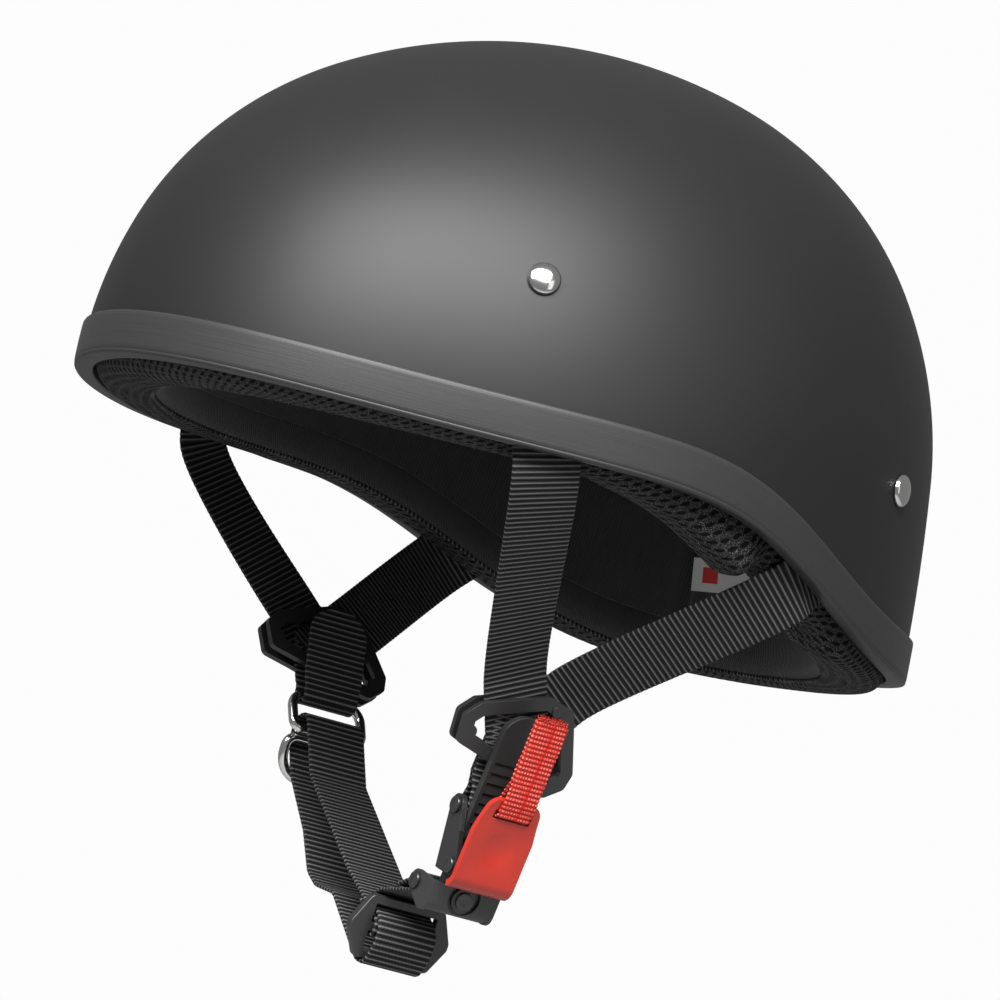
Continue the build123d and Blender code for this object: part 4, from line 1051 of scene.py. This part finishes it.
HALF_RING, RING_DEPTH = 12.0, 12.2
RING_CORNER, UPPER_BOW, LOWER_BOW = 3.0, 5.0, 8.0
ring_corners = [(-HALF_RING, 0), (HALF_RING, 0), (HALF_RING, RING_DEPTH), (-HALF_RING, RING_DEPTH)]
upper_radii = (RING_CORNER, RING_CORNER, UPPER_BOW, UPPER_BOW)
upper_place = right.at(0, -UPPER_RING_DROP - RING_DEPTH)
upper = wire_ring("ring_above", upper_place, WIDE, right.y, ring_corners, upper_radii)
dress(upper, "nickel", "harness", "upper_ring")
lower_bar = Spot(-61.5, -4.5, -10.0)
lower_radii = (RING_CORNER, RING_CORNER, LOWER_BOW, LOWER_BOW)
lower = wire_ring("ring_below", lower_bar.origin, WIDE, -lower_bar.y, ring_corners, lower_radii)
dress(lower, "nickel", "ring", "lower_ring")

# %% [markdown]
# ## Hard parts with eased edges
# Pressed and moulded parts keep their CAD shape, but no real edge is a knife edge. Each is a
# copy of its node with its flat facets joined again and a small bevel on every sharp edge,
# widest on the divider plates and narrowest on the pawl.

# %% Bevelled copies
EASE_ANGLE = radians(32)


def eased(name, node, slot, body, width, segments=2):
    """Copy of a CAD node with its corners joined and a bevel of width mm on its sharp edges."""
    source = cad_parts[node]
    mesh = source.data.copy()
    mesh.transform(source.matrix_world)
    work = bmesh.new()
    work.from_mesh(mesh)
    bmesh.ops.remove_doubles(work, verts=work.verts, dist=MERGE / 4)
    bmesh.ops.dissolve_limit(work, angle_limit=radians(1.0), verts=work.verts, edges=work.edges)
    bmesh.ops.recalc_face_normals(work, faces=work.faces)
    for face in work.faces:
        face.smooth = True
    work.to_mesh(mesh)
    work.free()
    mesh.set_sharp_from_angle(angle=EASE_ANGLE)
    piece = bpy.data.objects.new(name, mesh)
    bpy.context.scene.collection.objects.link(piece)
    bevel = piece.modifiers.new("ease", "BEVEL")
    bevel.width = width * MM
    bevel.segments = segments
    bevel.limit_method = "ANGLE"
    bevel.angle_limit = EASE_ANGLE
    bevel.harden_normals = True
    return dress(piece, slot, body, node)


for label in ("left", "right"):
    for half in ("base", "cover"):
        eased(f"{label}_plate_{half}", f"{label}_divider_{half}", "moulded_black", "harness", 0.6, segments=3)
eased("slider_plate", "strap_slider", "moulded_black", "harness", 0.45)
eased("buckle_frame", "ratchet_frame", "black_steel", "harness", 0.15)
eased("toothed_strip", "ratchet_strip", "moulded_black", "strip", 0.14)
eased("bracket", "strip_bracket", "grained_black", "strip", 0.2)
eased("handle", "release_lever", "lever_red", "lever", 0.35)
eased("pawl", "lever_pawl", "black_steel", "lever", 0.12)

# %% [markdown]
# ## Pins and the strip's rivet
# Three headed pins hold the buckle together, and a rivet holds the toothed strip in its
# bracket. They are lathe work, so the turned profile that made the helmet's rivets makes them
# too. Eased copies of the CAD nodes would do as well, but their heads have no dished middle.

# %% Pins and the rivet of the strip
FRAME_WIDTH, BRACKET_WIDTH, PIN_SIDES, STUD_SIDES = 20.4, 23.0, 40, 36
PIN_HEAD = [
    (0, 0.9), (1.0, 0.92), (1.5, 1.05), (2.1, 1.1), (2.42, 0.95), (2.5, 0.7), (2.5, 0.25), (2.35, 0.05),
]


def pin(name, node, spot, span, body):
    """Pin across the buckle, turned, with a dished head at each end."""
    half = span / 2
    right_side = [(r, half + h) for r, h in PIN_HEAD] + [(PIN_RADIUS, half)]
    outline = right_side + [(r, -h) for r, h in reversed(right_side)]
    dress(turned(name, outline, spot, WIDE, PIN_SIDES), "black_steel", body, node)


pin("pin_of_lever", "lever_pin", buckle.at(0, 0), FRAME_WIDTH, "harness")
pin("pin_of_webbing", "buckle_webbing_pin", buckle.at(PIN_OUT, PIN_UP), FRAME_WIDTH, "harness")
pin("pin_of_bracket", "bracket_pin", buckle.at(*BRACKET_PIN), BRACKET_WIDTH, "strip")
BRACKET_SHEET, BOSS_HEIGHT = 1.2, 1.2
stud_low, stud_high = STRIP_IN - BRACKET_SHEET, STRIP_OUT + BOSS_HEIGHT
STUD = [(0, stud_high + 0.6), (1.2, stud_high + 0.7), (2.1, stud_high + 0.95), (2.6, stud_high + 0.75)]
STUD += [(2.7, stud_high), (1.5, stud_high), (1.5, stud_low), (2.7, stud_low)]
STUD += [(2.5, stud_low - 0.8), (0, stud_low - 1.0)]
stud = turned("stud", STUD, buckle.at(0, BRACKET_PIN[1]), buckle.x, STUD_SIDES)
dress(stud, "black_steel", "strip", "strip_rivet")

# %% [markdown]
# ## Ribbon
# The pull ribbon is a narrow coarse weave, doubled through the slot of the lever. The webbing
# function makes ribs but no columns, so the ribbon has one of its own. Its rows and columns
# are relief, its edges wander a little, and its cut end frays into threads.

# %% Ribbon
chance = np.random.default_rng(7)
RIBBON_WIDTH, RIBBON_THICK, RIBBON_GAP = 11.0, 0.9, 0.18
RIBBON_BEND, RIBBON_STEP, RIBBON_COLUMNS = 0.75, 0.17, 72
LEVER_GAP, LEVER_HALF, LEVER_FLARE, LEVER_REACH = 0.3, 0.95, 1.2, 24.0
SLOT_UP, SLOT_BOW_SHARE, CROSSING_DOWN = 19.4, 0.35, 0.6
OUT, TOP, MEET = 6.1, 49.5, LEVER_REACH + 6.0
LEVER_MIDDLE = EYE_RADIUS + LEVER_GAP + LEVER_HALF
LEVER_END = LEVER_MIDDLE + LEVER_FLARE
beside = LEVER_HALF + RIBBON_GAP + RIBBON_THICK / 2
slot_middle = LEVER_MIDDLE + LEVER_FLARE * SLOT_BOW_SHARE
layer = (RIBBON_THICK + RIBBON_GAP) / 2
slot_floor = SLOT_UP - CROSSING_DOWN
ribbon_route = [
    (OUT + layer, TOP), (LEVER_END + beside, LEVER_REACH + RIBBON_GAP), (slot_middle + beside, slot_floor),
    (slot_middle - beside, slot_floor), (LEVER_END - beside, LEVER_REACH + RIBBON_GAP), (OUT - layer, MEET),
    (OUT - layer, TOP),
]


RELIEF_DEPTH, WANDER, SMOOTH_OVER, EDGE_TOOTH = 0.22, 0.6, 61, 0.3
SEAM_SUNK, SEAM_NARROW = 0.1, 0.35


def woven_band(name, flat, spot, width, thick):
    """Band with weave relief: rise = |sin(pi s / row) sin(pi a / column)|, on both faces. Its edges
    wander by a random walk smoothed over some rows, and a fine seam runs down its middle."""
    middle = spot.at(0, 0) + flat[:, :1] * spot.x + flat[:, 1:] * spot.y
    along = np.concatenate([[0], np.cumsum(np.linalg.norm(np.diff(middle, axis=0), axis=1))])
    heading = unit(np.gradient(middle, along, axis=0))
    up = np.cross(heading, WIDE)
    across, level, bead = band_section(width, thick, RIBBON_COLUMNS)
    steps = chance.normal(0, 1, len(along) + SMOOTH_OVER - 1)
    wander = np.convolve(steps, np.ones(SMOOTH_OVER) / SMOOTH_OVER, "valid")
    half = width / 2 - 0.2 + WANDER * wander[:, None] * np.ones(len(across))
    rows = np.sin(pi * along[:, None] / RIBBON_ROW)
    weave = rows * np.sin(pi * across[None, :] * width / 2 / RIBBON_COLUMN)
    tooth = EDGE_TOOTH * np.abs(rows) * bead
    spread = across * (half + tooth)
    rise = level * (thick / 2 - RELIEF_DEPTH + RELIEF_DEPTH * np.abs(weave) * (1 - bead))
    seam = SEAM_SUNK * np.exp(-((across * width / 2) / SEAM_NARROW) ** 2)
    rise = rise - np.sign(level) * seam
    points = middle[:, None] + WIDE * spread[..., None] + up[:, None] * rise[..., None]
    ring = np.concatenate([[0], np.cumsum(np.abs(np.diff(across)) * width / 2 + 0.02)])
    return surface(name, points, along, np.append(ring, ring[-1] + 0.2), wrap_v=True, sharp=80)


ribbon_flat = rounded(ribbon_route, RIBBON_BEND, RIBBON_STEP)
pull = woven_band("pull_loop", ribbon_flat, buckle, RIBBON_WIDTH, RIBBON_THICK)
dress(pull, "ribbon_red", "lever", "pull_ribbon")


THREADS, THREAD_HALF, THREAD_TAPER = 150, 0.16, 0.6


def fray(name):
    """Loose threads at the ribbon's cut end: bent tubes of 5 sides, thinner towards their tips."""
    count, rows, sides = THREADS, 6, 5
    t = np.linspace(0, 1, rows)
    root = np.stack([chance.uniform(-0.9, 0.9, count), chance.uniform(-5.2, 5.2, count)], axis=1)
    lean = chance.normal(0, 0.5, (count, 2))
    length = chance.uniform(0.7, 2.3, count)
    spin = np.linspace(0, TURN, sides, endpoint=False)
    out = OUT + root[:, :1] + lean[:, :1] * t**2
    over = root[:, 1:] + lean[:, 1:] * t**2
    high = TOP - 0.5 + length[:, None] * t
    thin = THREAD_HALF * (1 - THREAD_TAPER * t)
    centre = buckle.at(0, 0) + out[..., None] * buckle.x + high[..., None] * buckle.y
    centre = centre + over[..., None] * WIDE
    round_x = np.cos(spin)[:, None] * buckle.x + np.sin(spin)[:, None] * WIDE
    points = centre[:, :, None, :] + thin[None, :, None, None] * round_x
    mesh = bpy.data.meshes.new(name)
    i, j, k = np.meshgrid(np.arange(count), np.arange(rows - 1), np.arange(sides), indexing="ij")
    first = (i * rows + j) * sides
    corner = [first + k, first + (k + 1) % sides, first + sides + (k + 1) % sides, first + sides + k]
    quads = np.stack([c.ravel() for c in corner], axis=1)
    mesh.from_pydata((points.reshape(-1, 3) * MM).tolist(), [], quads.tolist())
    place = points.reshape(-1, 3)[quads.ravel()] @ buckle.y
    places = np.stack([place, place], axis=1) * MM
    mesh.uv_layers.new(name="uv").data.foreach_set("uv", places.ravel())
    return finish_mesh(name, mesh, 60)


dress(fray("frayed_end"), "ribbon_red", "lever")

# %% [markdown]
# ## Size label
# A small woven label is sewn to the lining at the back. A flat card would stand off the curved
# lining at its corners, so its two faces are cut from a layer of the dome. It stays bare.

# %% Size label
LABEL_Y, LABEL_Z, LABEL_SIDE = 98.5, -21.6, -1
LABEL_INSET, LABEL_HALF = 26.2, 0.25


def label_sheet():
    """Cloth label on the lining: a small patch that follows a dome layer, with two faces."""
    normal = wall_normal(LABEL_Y, LABEL_Z, LABEL_SIDE)
    along = unit(np.cross([0, 0, 1.0], normal))
    up = np.cross(normal, along)
    seat = np.array([wall_place(LABEL_Y, LABEL_Z, LABEL_INSET, LABEL_SIDE), LABEL_Y, LABEL_Z])
    a = np.linspace(-0.5, 0.5, 60) * LABEL_SIZE[0]
    b = np.linspace(-0.5, 0.5, 40) * LABEL_SIZE[1]
    grid = seat + a[:, None, None] * along + b[None, :, None] * up
    x = wall_place(grid[..., 1], grid[..., 2], LABEL_INSET, LABEL_SIDE)
    face = np.stack([x, grid[..., 1], grid[..., 2]], axis=-1)
    half = normal * LABEL_HALF
    both = np.concatenate([face - half, (face + half)[:, ::-1]], axis=1)
    over = np.concatenate([b, b[::-1], b[:1]]) + LABEL_SIZE[1] / 2
    return surface("label_patch", both, a + LABEL_SIZE[0] / 2, over, wrap_v=True, sharp=60)


dress(label_sheet(), "label_white", "helmet", "size_label")

# %% [markdown]
# ## What stays as it was packed
# The washers are hidden behind the foam, and the torsion spring lies between the buckle's
# cheeks, where little of it shows. Both could be made anew with finer faces, but that would
# hardly be seen, so both nodes stay and only get the nickel finish.

# %% CAD nodes that stay as they are
for node, slot in (("rivet_washers", "nickel"), ("lever_spring", "nickel")):
    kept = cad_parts[node]
    kept.data.materials.clear()
    kept.data.materials.append(finishes[slot])
    print("stays as packed:", node)

# %% [markdown]
# ## Light, floor and camera
# The photograph is a studio cut-out on white. One broad soft light hangs high on the camera's
# side and a weak one fills the shade on the right. Only a cone 8 degrees to each side of the
# line straight behind the helmet is white, because white all round would light up the edges of
# the matt shell. It stays there in other views, and the rest of the world is grey. The floor is
# plain grey paper that lies below the lower edge of this view and fades out sideways.
# The camera was fitted to the photograph, far off and nearly level, and rolled a little because
# the helmet was photographed tilted.

# %% Studio
scene = bpy.context.scene
scene.view_settings.view_transform = "Standard"
world = bpy.data.worlds.new("studio")
scene.world = world

AZ, EL, ROLL = radians(58.823), radians(-1.396), radians(6.135)
DISTANCE, FOCAL, SHIFT = 2788.565, 9517.961, (0.448, 7.584)
IMAGE, SENSOR = 1000, 36
back = np.array([sin(AZ) * cos(EL), -cos(AZ) * cos(EL), sin(EL)])
level_right = np.array([cos(AZ), sin(AZ), 0.0])
level_up = np.cross(back, level_right)
view_right = cos(ROLL) * level_right + sin(ROLL) * level_up
view_up = cos(ROLL) * level_up - sin(ROLL) * level_right
eye = back * DISTANCE - view_right * SHIFT[0] - view_up * SHIFT[1]
lens = bpy.data.cameras.new("camera")
lens.lens = FOCAL / IMAGE * SENSOR
lens.sensor_width = SENSOR
lens.clip_end = 50
camera = bpy.data.objects.new("camera", lens)
turn = Matrix([list(row) for row in np.stack([view_right, view_up, back], axis=1)]).to_4x4()
camera.matrix_world = Matrix.Translation(Vector(eye * MM)) @ turn
scene.collection.objects.link(camera)
scene.camera = camera
print("camera", round(DISTANCE), "mm away, lens", round(lens.lens), "mm")


def softbox(name, place, aim, size, watts):
    """Oblong area light at a place in metres, turned to face aim."""
    light = bpy.data.lights.new(name, "AREA")
    light.shape = "RECTANGLE"
    light.size, light.size_y = size
    light.energy = watts
    lamp = bpy.data.objects.new(name, light)
    lamp.location = place
    lamp.rotation_euler = (Vector(aim) - Vector(place)).to_track_quat("-Z", "Y").to_euler()
    scene.collection.objects.link(lamp)


def from_camera(right_by, up_by, near):
    """Place in metres given in the camera's own directions round the helmet."""
    return tuple(view_right * right_by + view_up * up_by + back * near)


softbox("key", from_camera(-0.05, 1.15, 1.1), (0, 0, 0.02), (2.1, 0.8), 112)
softbox("fill", from_camera(1.2, 0.1, 1.4), (0, 0, -0.03), (0.6, 1.4), 3)

WHITE_CONE = radians(8.0)
walls = Shader("studio", world)
direction = walls.node("ShaderNodeTexCoord")
dot = {"operation": "DOT_PRODUCT"}
facing = walls.node("ShaderNodeVectorMath", dot, direction, tuple(-back), out=1)
walls.done(Color=walls.mix(facing.above(cos(WHITE_CONE), 0.002), grey(0.27), grey(0.98)))

FLOOR_HALF, FLOOR_Z, FADE_REACH, FADE_SOFT = 700.0, -230.0, 440.0, 150.0
ends = (-FLOOR_HALF, FLOOR_HALF)
floor_points = np.array([[(x, y, FLOOR_Z) for y in ends] for x in ends])
floor = surface("floor", floor_points, [0, 2 * FLOOR_HALF], [0, 2 * FLOOR_HALF])
paper = Shader("paper")
reach = paper.node("ShaderNodeVectorMath", {"operation": "LENGTH"}, paper.object_place(), out=1)
fade = 1.0 - reach.above(FADE_REACH, FADE_SOFT)
floor.data.materials.append(paper.done(Base_Color=grey(0.3), Roughness=0.9, Alpha=fade))
